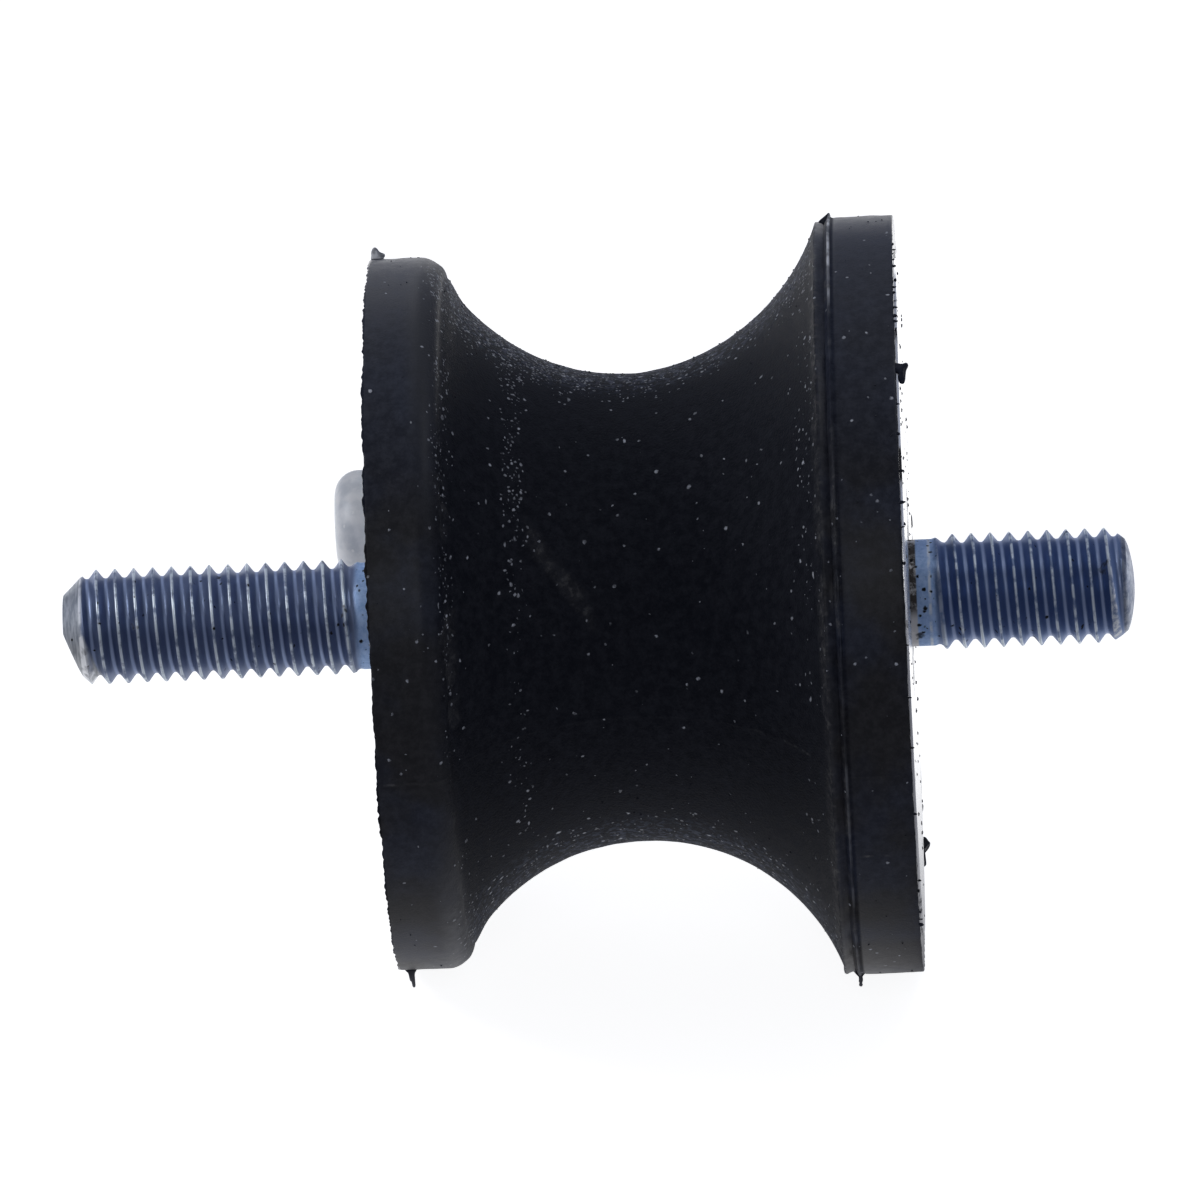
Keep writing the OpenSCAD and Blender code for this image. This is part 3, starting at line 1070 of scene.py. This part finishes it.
def scuff_mask(tree, place, x):
    """The slanted scuff on the waist's near side, from 0 to 1."""
    rise = math_node(tree, "SUBTRACT", toward(tree, place, SPLIT), SCUFF_UP * MM)
    run = math_node(tree, "SUBTRACT", x, SCUFF_X * MM)
    slanted = plus(tree, times(tree, run, SCUFF_SLOPE), rise)
    band = ramp_mm(tree, math_node(tree, "ABSOLUTE", slanted), 0.0, SCUFF_HALF, 1.0, 0.0)
    ends = ramp_mm(tree, math_node(tree, "ABSOLUTE", run), SCUFF_FADE, SCUFF_END, 1.0, 0.0)
    near = ramp_mm(tree, toward(tree, place, FACING), 0.0, 2.0)
    return times(tree, band, ends, near)


def crease(tree, place, x, angle, x_low, x_high):
    """A thin line along the studs at one angle round the spool, from one place along X to another."""
    away = math_node(tree, "ABSOLUTE", toward(tree, place, angle + math.pi / 2))
    this_side = ramp_mm(tree, toward(tree, place, angle), 0.0, 2.0)
    line = times(tree, ramp_mm(tree, away, 0.03, 0.15, 1.0, 0.0), this_side)
    start = ramp_mm(tree, x, x_low, x_low + 0.5)
    end = ramp_mm(tree, x, x_high - 0.5, x_high, 1.0, 0.0)
    return times(tree, line, times(tree, start, end))


print("the scuff is", SCUFF_X, "mm along the studs and", SCUFF_UP, "mm up")


# %% Dust, chalk and painted highlights
def dust_specks(tree, place, x, upward, waist, scuff):
    """All pale specks: dust in rings and where it settled on top, loose fluff and dashes, and painted
    glints along the waist's top and bottom edges.
    """
    rings = plus(tree, *[ring_share(tree, x, *ring) for ring in DUST_RINGS])
    rings = times(tree, rings, patches(tree, place, 330.0, 0.38, 0.58, 0.15, 1.0),
                  ramp(tree, upward, -0.5, 0.6, 0.4, 1.5))
    on_top = times(tree, ramp(tree, upward, 0.85, 0.98), ramp_mm(tree, x, 9.0, 18.0, 1.4, 0.4))
    # dust settled on the waist's upper edge; on its lower edge the pale specks are painted glints
    settled = times(tree, plus(tree, on_top, ramp(tree, upward, -0.80, -0.97, 0.0, 0.16)), waist)
    patchy = patches(tree, place, 230.0, 0.40, 0.58, 0.12, 1.0, detail=3.0)
    share = times(tree, plus(tree, settled, times(tree, scuff, 0.4)), patchy)
    share = plus(tree, share, rings, STRAY_SPECKS)
    # painted glints: pale specks on the waist's edges and in the dust rings that stand in for sparkle
    painted_glint_share = plus(tree, settled, times(tree, rings, 0.35))
    dash_share = times(tree, share, 0.7)
    kinds = [
        use_group(tree, SPECKS, place, Cells=2700.0, Share=share, Size=0.42),
        use_group(tree, SPECKS, place, Cells=620.0, Share=0.13, Size=0.11),
        use_group(tree, SPECKS, drawn_out(tree, place, 0.4), Cells=1900.0, Share=dash_share, Size=0.22),
        use_group(tree, SPECKS, place, Cells=4300.0, Share=painted_glint_share, Size=0.44),
    ]
    specks = larger(tree, *[kind.outputs["Mask"] for kind in kinds])
    return times(tree, specks, patches(tree, place, 2400.0, 0.3, 0.7, 0.2, 1.0))


def chalk_and_highlight_mask(tree, place, x, scuff, streaky):
    """Rings of chalk (on the seam's ridge and fin partly a painted highlight), painted highlight lines
    along the creases and the scuff, all smeared.
    """
    lying = noise_value(tree, place, 270.0)
    chalk = plus(tree, *[
        times(tree, ring_share(tree, x, middle, half, strength), ramp(tree, lying, level, level + 0.2))
        for middle, half, level, strength in CHALK_AND_HIGHLIGHT_RINGS
    ])
    broken = patches(tree, place, 800.0, 0.44, 0.62, 0.0, 0.9, detail=3.0)
    # each crease is a pale painted highlight line beside its low ridge
    for below, x_low, x_high in CREASES:
        line = crease(tree, place, x, FACING - math.radians(below), x_low, x_high)
        chalk = larger(tree, chalk, times(tree, line, broken))
    chalk = larger(tree, chalk, times(tree, scuff, 0.6))
    smear = times(tree, patches(tree, place, 1300.0, 0.34, 0.66, 0.3, 1.0, detail=3.0),
                  ramp(tree, streaky, 0.0, 1.0, 0.35, 1.0))
    return times(tree, chalk, smear)


def painted_flash_highlight(tree, place, x, radius, upward, beside_fin):
    """Painted highlight on the fin's top and the small flange's torn rim, full on the upper side and faint
    on the lower.
    """
    fin = times(tree, ramp_mm(tree, beside_fin, 0.05, 0.12, 1.0, 0.0),
                ramp_mm(tree, radius, LARGE_R - 0.08, LARGE_R),
                patches(tree, place, 420.0, 0.4, 0.6, 0.2, 1.0))
    torn = times(tree, ramp_mm(tree, radius, SMALL_R + 0.02, SMALL_R + 0.1),
                 ramp_mm(tree, x, 1.2, 1.3, 0.9, 0.0),
                 patches(tree, place, 1600.0, 0.35, 0.6, 0.35, 1.0))
    # painted light: full on the upper side, faint on the lower side
    painted_edge_light = larger(tree, ramp(tree, upward, 0.7, 0.85, 0.03, 1.0),
                          ramp(tree, upward, -0.25, -0.45, 0.0, 0.13))
    return times(tree, larger(tree, fin, torn), painted_edge_light)


print("share of stray specks:", STRAY_SPECKS)


# %% Rubber's colour
def rubber_skin(tree, place, x, upward, waist, scuff, blotch, haze):
    """Cold and warm blotches on the bands, a darker hollow, painted sheen on its top and bottom edges, haze
    in the upper corner, a painted highlight in the lower corner, and chalk with painted highlights.
    """
    tones = (COLD_RUBBER, WARM_RUBBER, HOLLOW_RUBBER)
    cold, warm, hollow = [mix_colours(tree, haze, *pair) for pair in tones]
    warmth = times(tree, ramp(tree, blotch, 0.38, 0.62), ramp(tree, upward, 0.2, 0.5, 1.0, 0.35))
    skin = mix_colours(tree, waist, mix_colours(tree, warmth, cold, warm), hollow)
    streaky = patches(tree, place, 2400.0, 0.46, 0.64, detail=3.0)
    # painted sheen along the waist's top and bottom edges
    edges = larger(tree, ramp(tree, upward, 0.88, 0.985), ramp(tree, upward, -0.86, -0.97, 0.0, 0.7))
    skin = mix_colours(tree, times(tree, edges, waist, streaky), skin, PAINTED_EDGE_SHEEN)
    upper = times(tree, ring_share(tree, x, *UPPER_CORNER), ramp(tree, upward, 0.2, 0.8, 0.2, 1.0))
    skin = mix_colours(tree, upper, skin, CORNER_HAZE)
    # painted highlight along the lower edge of the small flange's corner
    lower = times(tree, ring_share(tree, x, *LOWER_CORNER), ramp(tree, upward, -0.6, -0.92),
                  patches(tree, place, 900.0, 0.35, 0.6, 0.5, 1.0, detail=3.0))
    skin = mix_colours(tree, lower, skin, LOW_CORNER_HIGHLIGHT)
    return mix_colours(tree, chalk_and_highlight_mask(tree, place, x, scuff, streaky), skin, CHALK_AND_HIGHLIGHT)


print("haze in the corners at", UPPER_CORNER[0], "and", LOWER_CORNER[0], "mm")


# %% Rubber material
def make_rubber():
    """Dusty black rubber: satin bands with a pressed skin, a matte waist and glossy lips."""
    material, tree, shader, place = start_material("black_rubber")
    grain = use_group(tree, GRAIN, place, Grain=6500.0, Blotch=170.0)
    x = along_studs(tree, place)
    radius = away_from_studs(tree, place)
    upward = math_node(tree, "DIVIDE", toward(tree, place, SPLIT), radius)
    waist, scuff = waist_mask(tree, x), scuff_mask(tree, place, x)
    haze = patches(tree, place, 1500.0, 0.34, 0.72, detail=5.0, roughness=0.75)
    beside_fin = off_from(tree, x, FIN_X)
    specks = dust_specks(tree, place, x, upward, waist, scuff)
    skin = rubber_skin(tree, place, x, upward, waist, scuff, grain.outputs["Blotch"], haze)
    # painted highlight on the fin's top and the torn rim
    skin = mix_colours(tree, painted_flash_highlight(tree, place, x, radius, upward, beside_fin), skin, PAINTED_FLASH_HIGHLIGHT)
    tree.links.new(mix_colours(tree, specks, skin, DUST), shader.inputs["Base Color"])
    matte = larger(tree, waist, ramp_mm(tree, beside_fin, 0.2, 0.4, 1.0, 0.0))
    shallow, deep = LIP_DEPTH
    lip = larger(tree, ramp_mm(tree, x, RUBBER_END - deep, RUBBER_END - shallow),
                 ramp_mm(tree, x, RUBBER_START + shallow, RUBBER_START + deep, 1.0, 0.0))
    pressed = math_node(tree, "SUBTRACT", 1.0, larger(tree, matte, specks, lip), clamp=True)
    gloss = plus(tree, ramp(tree, haze, 0.0, 1.0, 0.40, 0.56), times(tree, matte, 0.2))
    gloss = times(tree, gloss, ramp(tree, lip, 0.0, 1.0, 1.0, 0.3))
    tree.links.new(larger(tree, gloss, times(tree, specks, 0.9)), shader.inputs["Roughness"])
    shader.inputs["Specular IOR Level"].default_value = 0.1
    tree.links.new(times(tree, pressed, 0.55), shader.inputs["Coat Weight"])
    shader.inputs["Coat Roughness"].default_value = 0.42
    rough_cast = times(tree, grain.outputs["Height"], ramp(tree, waist, 0.0, 1.0, 0.35, 1.0))
    height = plus(tree, rough_cast, times(tree, specks, 0.6))
    bump(tree, shader, times(tree, height, ramp(tree, lip, 0.0, 1.0, 1.0, 0.03)), 1.0, 0.1)
    return material


RUBBER = make_rubber()
print(RUBBER.name, "has", len(RUBBER.node_tree.nodes), "nodes")

# %% [markdown]
# ## Blue zinc
# The studs are zinc plated and passivated blue. The crests are polished by the rolling dies and by
# handling, so they shine like silver, while the flanks stay deep blue and the roots a little paler.
# How far a point is from the studs' axis tells crest from root, so no painting is needed.

# %% Colours on the studs
FLANK_BLUE = ((0.175, 0.225, 0.37), (0.255, 0.315, 0.48))
SHORT_FLANK_BLUE = ((0.155, 0.225, 0.41), (0.22, 0.31, 0.54))
ROOT_BLUE = (0.38, 0.47, 0.70)
NECK_BLUE = ((0.37, 0.55, 0.86), (0.52, 0.69, 0.98))
NECK_LINE_BLUE = (0.86, 0.92, 1.0)
DULL_END = ((0.28, 0.31, 0.36), (0.50, 0.53, 0.58))
# fresh shear colour, a little lighter, partly as painted light
FRESH_END_WITH_PAINTED_LIGHT = ((0.30, 0.32, 0.35), (0.54, 0.56, 0.59))
POINT_SILVER, FLAT_SILVER, CREST_SILVER = (0.93, 0.95, 0.98), (0.84, 0.87, 0.90), (0.84, 0.92, 1.0)
NOSE_GREY = ((0.10, 0.12, 0.18), (0.38, 0.41, 0.46))
FOOT_PALE, FOOT_STAIN = (0.85, 0.85, 0.86), (0.07, 0.06, 0.055)
GRIME = (0.006, 0.006, 0.008)
SHORT_END = SEAT_LENGTH + SHORT_STUD
THREAD_START = SEAT_LENGTH + NECK_H      # where the short stud's thread begins to grow
print("short stud's thread grows from", THREAD_START, "mm and its end is at", SHORT_END, "mm")


# %% Masks on the studs
def run_out_mask(tree, x):
    """Where along the studs the thread is still growing out of a neck."""
    on_long = times(tree, ramp_mm(tree, x, -3.0, -2.7),
                    ramp_mm(tree, x, -LONG_NECK_H, -(LONG_NECK_H - 0.2), 1.0, 0.0))
    on_short = times(tree, ramp_mm(tree, x, THREAD_START - 0.2, THREAD_START),
                     ramp_mm(tree, x, THREAD_START + 1.2, THREAD_START + 1.5, 1.0, 0.0))
    return larger(tree, on_long, on_short)


def cut_crests(tree, x, radius):
    """Where the short stud's point has cut the crests down to flats."""
    (first, first_r), (second, second_r) = SHORT_POINT[:2]
    first_x, second_x = SHORT_END - first, SHORT_END - second
    cone = ramp(tree, x, first_x * MM, second_x * MM, first_r * MM, second_r * MM, smooth=False)
    flats = ramp_mm(tree, math_node(tree, "SUBTRACT", cone, radius), 0.03, 0.10, 1.0, 0.0)
    return times(tree, flats, ramp_mm(tree, x, first_x, first_x + 0.1))


def long_end_mask(tree, x, height):
    """The long stud's chamfer and the slanted shear below it."""
    under = larger(tree, math_node(tree, "SUBTRACT", -SHEAR_START * MM, height), 0.0)
    from_end = math_node(tree, "SUBTRACT", x, times(tree, under, SHEAR_SLOPE))
    return ramp_mm(tree, from_end, -(LONG_STUD - 1.1), -(LONG_STUD - 1.45), 1.0, 0.0)


def neck_mask(tree, x):
    """Everything between the two threads, so both plain necks."""
    return times(tree, ramp_mm(tree, x, -(LONG_NECK_H + 0.5), -LONG_NECK_H),
                 ramp_mm(tree, x, THREAD_START, THREAD_START + 0.4, 1.0, 0.0))


print("the shear climbs", round(SHEAR_SLOPE, 3), "mm for each millimetre down")


# %% Colours along the studs
def thread_coat(tree, place, x, radius, neck, worn, blotch):
    """Blue flanks and roots, plain necks and the bright line round the short one."""
    long_flank = mix_colours(tree, blotch, *FLANK_BLUE)
    short_flank = mix_colours(tree, blotch, *SHORT_FLANK_BLUE)
    flank = mix_colours(tree, ramp(tree, x, 0.03, 0.036), long_flank, short_flank)
    root = ramp_mm(tree, radius, ROOT_R, ROOT_R + 0.05, 1.0, 0.0)
    coat = mix_colours(tree, root, flank, ROOT_BLUE)
    cloudy = patches(tree, place, 2600.0, 0.35, 0.65, detail=4.0, roughness=0.7)
    coat = mix_colours(tree, neck, coat, mix_colours(tree, cloudy, *NECK_BLUE))
    beside_line = off_from(tree, x, SEAT_LENGTH + NECK_LINE)
    line = times(tree, ramp_mm(tree, beside_line, 0.04, 0.15, 0.9, 0.0), worn)
    return mix_colours(tree, line, coat, NECK_LINE_BLUE)


def long_point(tree, place, x, radius, height, worn, coat):
    """The long stud's turned chamfer, its fresh shear made a little lighter as painted light on its lower
    side, and the bright edge between chamfer and thread.
    """
    end = long_end_mask(tree, x, height)
    # the shear's lower part is lighter: a fresh cut, and partly painted light
    sheared = times(tree, ramp_mm(tree, height, -0.4, -1.6), end)
    lines = patches(tree, drawn_out(tree, place, 0.15), 6500.0, 0.34, 0.66, detail=3.0)
    dull, fresh = [mix_colours(tree, lines, *pair) for pair in (DULL_END, FRESH_END_WITH_PAINTED_LIGHT)]
    metal = mix_colours(tree, end, coat, mix_colours(tree, sheared, dull, fresh))
    edge = times(tree, ramp_mm(tree, radius, 3.24, 3.36), times(tree, end, worn))
    return mix_colours(tree, edge, metal, POINT_SILVER)


def short_point(tree, place, x, radius, metal):
    """The short stud's mottled flats and nose."""
    mottled = patches(tree, place, 1700.0, 0.40, 0.62, 0.12, 0.9, detail=4.0, roughness=0.65)
    metal = mix_colours(tree, times(tree, cut_crests(tree, x, radius), mottled), metal, FLAT_SILVER)
    nose = ramp_mm(tree, x, SHORT_END - 0.9, SHORT_END - 0.7, 0.0, 0.85)
    return mix_colours(tree, nose, metal, mix_colours(tree, mottled, *NOSE_GREY))


def stained_foot(tree, place, x, height, metal):
    """The short stud's foot: pale below and stained above."""
    foot = times(tree, ramp_mm(tree, x, SEAT_LENGTH + 0.38, SEAT_LENGTH + 0.48, 1.0, 0.0),
                 ramp_mm(tree, x, -0.3, -0.2))
    stained = times(tree, patches(tree, place, 800.0, 0.38, 0.52, detail=5.0, roughness=0.7),
                    ramp_mm(tree, height, -1.8, -0.8, 0.1, 0.95))
    return mix_colours(tree, foot, metal, mix_colours(tree, stained, FOOT_PALE, FOOT_STAIN))


print("bright line round the neck at", round(SEAT_LENGTH + NECK_LINE, 2), "mm")


# %% Stud material
def make_blue_zinc():
    """Blue zinc with silver crests, plain necks, worn ends and grime."""
    material, tree, shader, place = start_material("blue_zinc")
    grain = use_group(tree, GRAIN, place, Grain=5200.0, Blotch=420.0)
    x = along_studs(tree, place)
    radius = away_from_studs(tree, place)
    height = toward(tree, place, SPLIT)
    neck = neck_mask(tree, x)
    worn = patches(tree, place, 1100.0, 0.36, 0.56, 0.12, 1.0, detail=3.0)
    metal = thread_coat(tree, place, x, radius, neck, worn, grain.outputs["Blotch"])
    metal = long_point(tree, place, x, radius, height, worn, metal)
    metal = short_point(tree, place, x, radius, metal)
    crest = times(tree, ramp_mm(tree, radius, CREST_R - 0.12, CREST_R - 0.03), worn)
    growing = times(tree, ramp_mm(tree, radius, 3.6, 3.68), run_out_mask(tree, x))
    crest = larger(tree, crest, times(tree, growing, times(tree, worn, 0.5)))
    metal = mix_colours(tree, crest, metal, CREST_SILVER)
    metal = stained_foot(tree, place, x, height, metal)
    grime_share = ramp(tree, neck, 0.0, 1.0, 0.1, 0.8)
    grime = use_group(tree, SPECKS, place, Cells=2100.0, Share=grime_share, Size=0.36)
    caked = patches(tree, place, 520.0, 0.70, 0.76, 0.0, 0.85, detail=3.0)
    dirt = larger(tree, grime.outputs["Mask"], caked)
    tree.links.new(mix_colours(tree, dirt, metal, GRIME), shader.inputs["Base Color"])
    tree.links.new(math_node(tree, "SUBTRACT", 1.0, dirt), shader.inputs["Metallic"])
    gloss = plus(tree, ramp(tree, grain.outputs["Blotch"], 0.3, 0.7, 0.40, 0.52), times(tree, neck, 0.12))
    tree.links.new(plus(tree, gloss, times(tree, dirt, 0.4)), shader.inputs["Roughness"])
    bump(tree, shader, grain.outputs["Height"], 0.3, 0.03)
    return material


ZINC = make_blue_zinc()
print(ZINC.name, "has", len(ZINC.node_tree.nodes), "nodes")

# %% [markdown]
# ## Bright plates and the grey pin
# The plates are bright zinc, almost a mirror, with black rubber specks and a smear near the lip.
# The pin is duller: a mottled pale grey with no shine to speak of.

# %% Plate and pin materials
PLATE_ZINC, PLATE_DIRT = ((0.90, 0.91, 0.92), (0.97, 0.97, 0.97)), (0.01, 0.01, 0.012)
PIN_GREY, PIN_SCUFF = ((0.70, 0.73, 0.77), (0.88, 0.89, 0.91)), (0.93, 0.94, 0.95)


def make_bright_zinc():
    """Bright plate with rubber specks, a smear beside the lip and dirt round the stud."""
    material, tree, shader, place = start_material("bright_zinc")
    grain = use_group(tree, GRAIN, place, Grain=2600.0, Blotch=300.0)
    radius = away_from_studs(tree, place)
    spots = use_group(tree, SPECKS, place, Cells=900.0, Share=0.14, Size=0.22)
    smear = times(tree, ramp_mm(tree, radius, 19.0, 22.0),
                  patches(tree, place, 420.0, 0.56, 0.68, detail=4.0))
    by_stud = times(tree, ramp_mm(tree, radius, 4.5, 9.0, 1.0, 0.0),
                    patches(tree, place, 600.0, 0.44, 0.56, detail=4.0))
    dirt = larger(tree, spots.outputs["Mask"], smear, by_stud)
    metal = mix_colours(tree, grain.outputs["Blotch"], *PLATE_ZINC)
    tree.links.new(mix_colours(tree, dirt, metal, PLATE_DIRT), shader.inputs["Base Color"])
    tree.links.new(math_node(tree, "SUBTRACT", 1.0, dirt), shader.inputs["Metallic"])
    gloss = ramp(tree, grain.outputs["Blotch"], 0.3, 0.7, 0.15, 0.26)
    tree.links.new(plus(tree, gloss, times(tree, dirt, 0.4)), shader.inputs["Roughness"])
    bump(tree, shader, grain.outputs["Height"], 0.08, 0.02)
    return material


def make_grey_pin():
    """Mottled pale grey with small scuffs."""
    material, tree, shader, place = start_material("grey_pin")
    grain = use_group(tree, GRAIN, place, Grain=2600.0, Blotch=900.0)
    scuffs = use_group(tree, SPECKS, place, Cells=1700.0, Share=0.3, Size=0.28)
    metal = mix_colours(tree, ramp(tree, grain.outputs["Blotch"], 0.35, 0.65), *PIN_GREY)
    tree.links.new(mix_colours(tree, scuffs.outputs["Mask"], metal, PIN_SCUFF), shader.inputs["Base Color"])
    shader.inputs["Metallic"].default_value = 0.25
    tree.links.new(ramp(tree, grain.outputs["Blotch"], 0.3, 0.7, 0.42, 0.6), shader.inputs["Roughness"])
    bump(tree, shader, grain.outputs["Height"], 0.6, 0.04)
    return material


BRIGHT, GREY = make_bright_zinc(), make_grey_pin()
print(BRIGHT.name, "has", len(BRIGHT.node_tree.nodes), "nodes;", GREY.name, len(GREY.node_tree.nodes))

# %% [markdown]
# ## Dressing the pieces
# The new meshes take their finish as a first material. Both plates and the pin keep the solids' own
# meshes, whose shape is already right, so for them only the material in each slot is changed.

# %% Give every piece its finish
for piece in (rubber_spool, flash_tags, pin_side_flash, plain_side_flash, pin_side_creep,
              plain_side_creep, rubber_crumbs):
    piece.data.materials.append(RUBBER)
for piece in (long_stud, short_stud):
    piece.data.materials.append(ZINC)
for node, material in (("pin_side_plate", BRIGHT), ("plain_side_plate", BRIGHT), ("locating_pin", GREY)):
    for material_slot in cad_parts[node].material_slots:
        material_slot.material = material
print("finishes:", [m.name for m in (RUBBER, ZINC, BRIGHT, GREY)])

# %% [markdown]
# ## Floor
# The mount lies on its two rims, which are not the same size, so the floor is tilted a little in the
# mount's frame to touch both. One flat face is enough for its shape. It also works as a reflector:
# it is white to the camera, and it throws light on the mount from behind and from two cards.

# %% Floor
REST_SMALL = Vector((RUBBER_START, 0.0, -SMALL_R)) * MM
REST_LARGE = Vector((FIN_X, 0.0, -(LARGE_R + FIN_H))) * MM
FLOOR_SEEN = (0.90, 0.90, 0.90)    # the paper's own glow, as the camera sees it
FLOOR_FRONT = (0.09, 0.09, 0.10)   # the glow that it throws on the mount from the front
FLOOR_BEHIND = (1.25, 1.25, 1.26)  # and from behind
FLOOR_PAPER = ((0.90, 0.90, 0.90), (0.93, 0.93, 0.93))
FLOOR_LIT = (0.30, 0.30, 0.31)     # how much other light it throws back on the mount
FLOOR_HALF = 3.0                   # half width in metres
CARDS = [  # brighter cards on the floor under spool and short stud: middle, full to, faded at, strength
    (14.2, 16.0, 24.0, 0.39),
    (45.0, 6.0, 12.0, 0.12),
]


def make_floor():
    """A wide pale floor through the lowest points of both rims."""
    along = (REST_LARGE - REST_SMALL).normalized()
    across = Vector((0.0, 1.0, 0.0))
    up = along.cross(across)
    along_reach, across_reach = along * FLOOR_HALF, across * FLOOR_HALF
    signs = ((-1, -1), (1, -1), (1, 1), (-1, 1))
    corners = [tuple(REST_SMALL + along_reach * sx + across_reach * sy) for sx, sy in signs]
    mesh = bpy.data.meshes.new("pale_floor")
    mesh.from_pydata(corners, [], [(0, 1, 2, 3)])
    floor = bpy.data.objects.new("pale_floor", mesh)
    bpy.context.scene.collection.objects.link(floor)
    material, tree, shader, place = start_material("floor_paper")
    fibres = use_group(tree, GRAIN, place, Grain=900.0, Blotch=12.0)
    paper = mix_colours(tree, fibres.outputs["Blotch"], *FLOOR_PAPER)
    shader.inputs["Roughness"].default_value = 0.9
    seen = tree.nodes.new("ShaderNodeLightPath").outputs["Is Camera Ray"]
    tree.links.new(mix_colours(tree, seen, FLOOR_LIT, paper), shader.inputs["Base Color"])
    split = tree.nodes.new("ShaderNodeSeparateXYZ")
    tree.links.new(place, split.inputs[0])
    back = split.outputs["Y"]
    in_front = ramp(tree, back, -0.040, -0.006)
    cards = []
    for middle, full, faded, strength in CARDS:
        away = off_from(tree, split.outputs["X"], middle)
        cards.append(times(tree, ramp_mm(tree, away, full, faded, strength, 0.0), in_front))
    glow = mix_colours(tree, larger(tree, ramp(tree, back, -0.02, 0.05), *cards), FLOOR_FRONT, FLOOR_BEHIND)
    tree.links.new(mix_colours(tree, seen, glow, FLOOR_SEEN), shader.inputs["Emission Color"])
    shader.inputs["Emission Strength"].default_value = 1.0
    mesh.materials.append(material)
    return up


FLOOR_UP = make_floor()
print("floor normal:", tuple(round(c, 4) for c in FLOOR_UP))

# %% [markdown]
# ## White room and soft light
# Small parts are photographed in a white room that is dark only on the camera's side. That is what
# keeps the rubber black and the threads blue. Lamps alone would leave hard spots, so a world with a
# slow change of brightness gives most of the light and a few soft boxes add the highlights.

# %% White room
CAMERA_YAW, CAMERA_RISE = math.radians(1.99), math.radians(24.0)
TO_CAMERA = Vector((math.sin(CAMERA_YAW), -math.cos(CAMERA_YAW) * math.cos(CAMERA_RISE),
                    math.cos(CAMERA_YAW) * math.sin(CAMERA_RISE)))
FRONT_GLOW, SIDE_GLOW, BACK_GLOW, END_GLOW = 0.10, 0.26, 0.28, 0.08
ROOM_TINT = (0.88, 0.95, 1.18)


def make_room():
    """A world that is dark on the camera's side, grey all round and bright straight behind."""
    world = bpy.data.worlds.new("white_room")
    bpy.context.scene.world = world
    world.use_nodes = True
    tree = world.node_tree
    tree.nodes.clear()
    direction = tree.nodes.new("ShaderNodeTexCoord").outputs["Generated"]
    facing = tree.nodes.new("ShaderNodeVectorMath")
    facing.operation = "DOT_PRODUCT"
    facing.inputs[1].default_value = TO_CAMERA
    tree.links.new(direction, facing.inputs[0])
    front = facing.outputs["Value"]
    glow = ramp(tree, front, -0.4, 0.6, SIDE_GLOW, FRONT_GLOW)
    sideways = math_node(tree, "ABSOLUTE", along_studs(tree, direction))
    glow = plus(tree, glow, ramp(tree, front, -0.99, -0.75, BACK_GLOW, 0.0),
                ramp(tree, sideways, 0.6, 0.95, 0.0, END_GLOW))
    seen = tree.nodes.new("ShaderNodeLightPath").outputs["Is Camera Ray"]
    strength = larger(tree, glow, seen)
    background = tree.nodes.new("ShaderNodeBackground")
    tree.links.new(mix_colours(tree, seen, ROOM_TINT, (1.0, 1.0, 1.0)), background.inputs["Color"])
    tree.links.new(strength, background.inputs["Strength"])
    out = tree.nodes.new("ShaderNodeOutputWorld")
    tree.links.new(background.outputs[0], out.inputs["Surface"])


def add_softbox(name, position_mm, target_mm, size_mm, watts):
    """A square area light that looks at a point."""
    light = bpy.data.lights.new(name, "AREA")
    light.shape, light.size, light.energy = "SQUARE", size_mm * MM, watts
    lamp = bpy.data.objects.new(name, light)
    lamp.location = Vector(position_mm) * MM
    lamp.rotation_mode = "QUATERNION"
    lamp.rotation_quaternion = (Vector(target_mm) - Vector(position_mm)).to_track_quat("-Z", "Y")
    bpy.context.scene.collection.objects.link(lamp)


SOFTBOXES = [  # name, position and target in millimetres, size, watts
    ("top_softbox", (-60, 120, 420), (14, 0, 0), 420, 0.080),
    ("pin_softbox", (-62, -12, 44), (-2, 12, 0), 30, 0.0130),
    ("left_softbox", (-8, 85, 66), (2, 0, 23), 45, 0.0032),
    ("stud_softbox", (74, -6, 82), (44, 0, 0), 30, 0.004),
    ("front_softbox", tuple(TO_CAMERA * 620 + Vector((0, 30, 75))), (14, 0, 0), 150, 0.16),
]

make_room()
for softbox in SOFTBOXES:
    add_softbox(*softbox)
print("softboxes:", [softbox[0] for softbox in SOFTBOXES])

# %% [markdown]
# ## Camera
# The camera stands far off with a long lens, as close-ups of small parts are taken, so the flanges
# hardly widen toward it. It is turned to the photo's angle and rolled until the studs tilt alike.

# %% Camera
CAMERA_DISTANCE = 880.0
LENS = 399.4
AIM_X, AIM_UP = 14.27, 0.40
AIM = Vector((AIM_X, AIM_UP * math.sin(CAMERA_RISE), AIM_UP * math.cos(CAMERA_RISE)))
STUD_TILT = math.radians(2.38)          # the studs climb to the right by this much in the photo


def make_camera():
    """A long-lens camera at the photo's angle, rolled so that the studs tilt as they do there."""
    data = bpy.data.cameras.new("photo_camera")
    data.sensor_width, data.lens = 36.0, LENS
    data.clip_start, data.clip_end = 0.01, 20.0
    data.dof.use_dof = False
    back = TO_CAMERA.normalized()
    up = Vector((0.0, math.sin(CAMERA_RISE), math.cos(CAMERA_RISE))).normalized()
    up = (up - back * up.dot(back)).normalized()
    right = up.cross(back)
    seen_tilt = math.atan2(up.x, right.x)
    roll = seen_tilt - STUD_TILT
    new_right = right * math.cos(roll) + up * math.sin(roll)
    new_up = up * math.cos(roll) - right * math.sin(roll)
    camera = bpy.data.objects.new("photo_camera", data)
    turn = Matrix((new_right, new_up, back)).transposed()
    camera.matrix_world = Matrix.Translation(AIM * MM + back * CAMERA_DISTANCE * MM) @ turn.to_4x4()
    bpy.context.scene.collection.objects.link(camera)
    bpy.context.scene.camera = camera
    return math.degrees(roll)


print("camera roll:", round(make_camera(), 2), "degrees")
bpy.context.scene.view_settings.view_transform = "Standard"
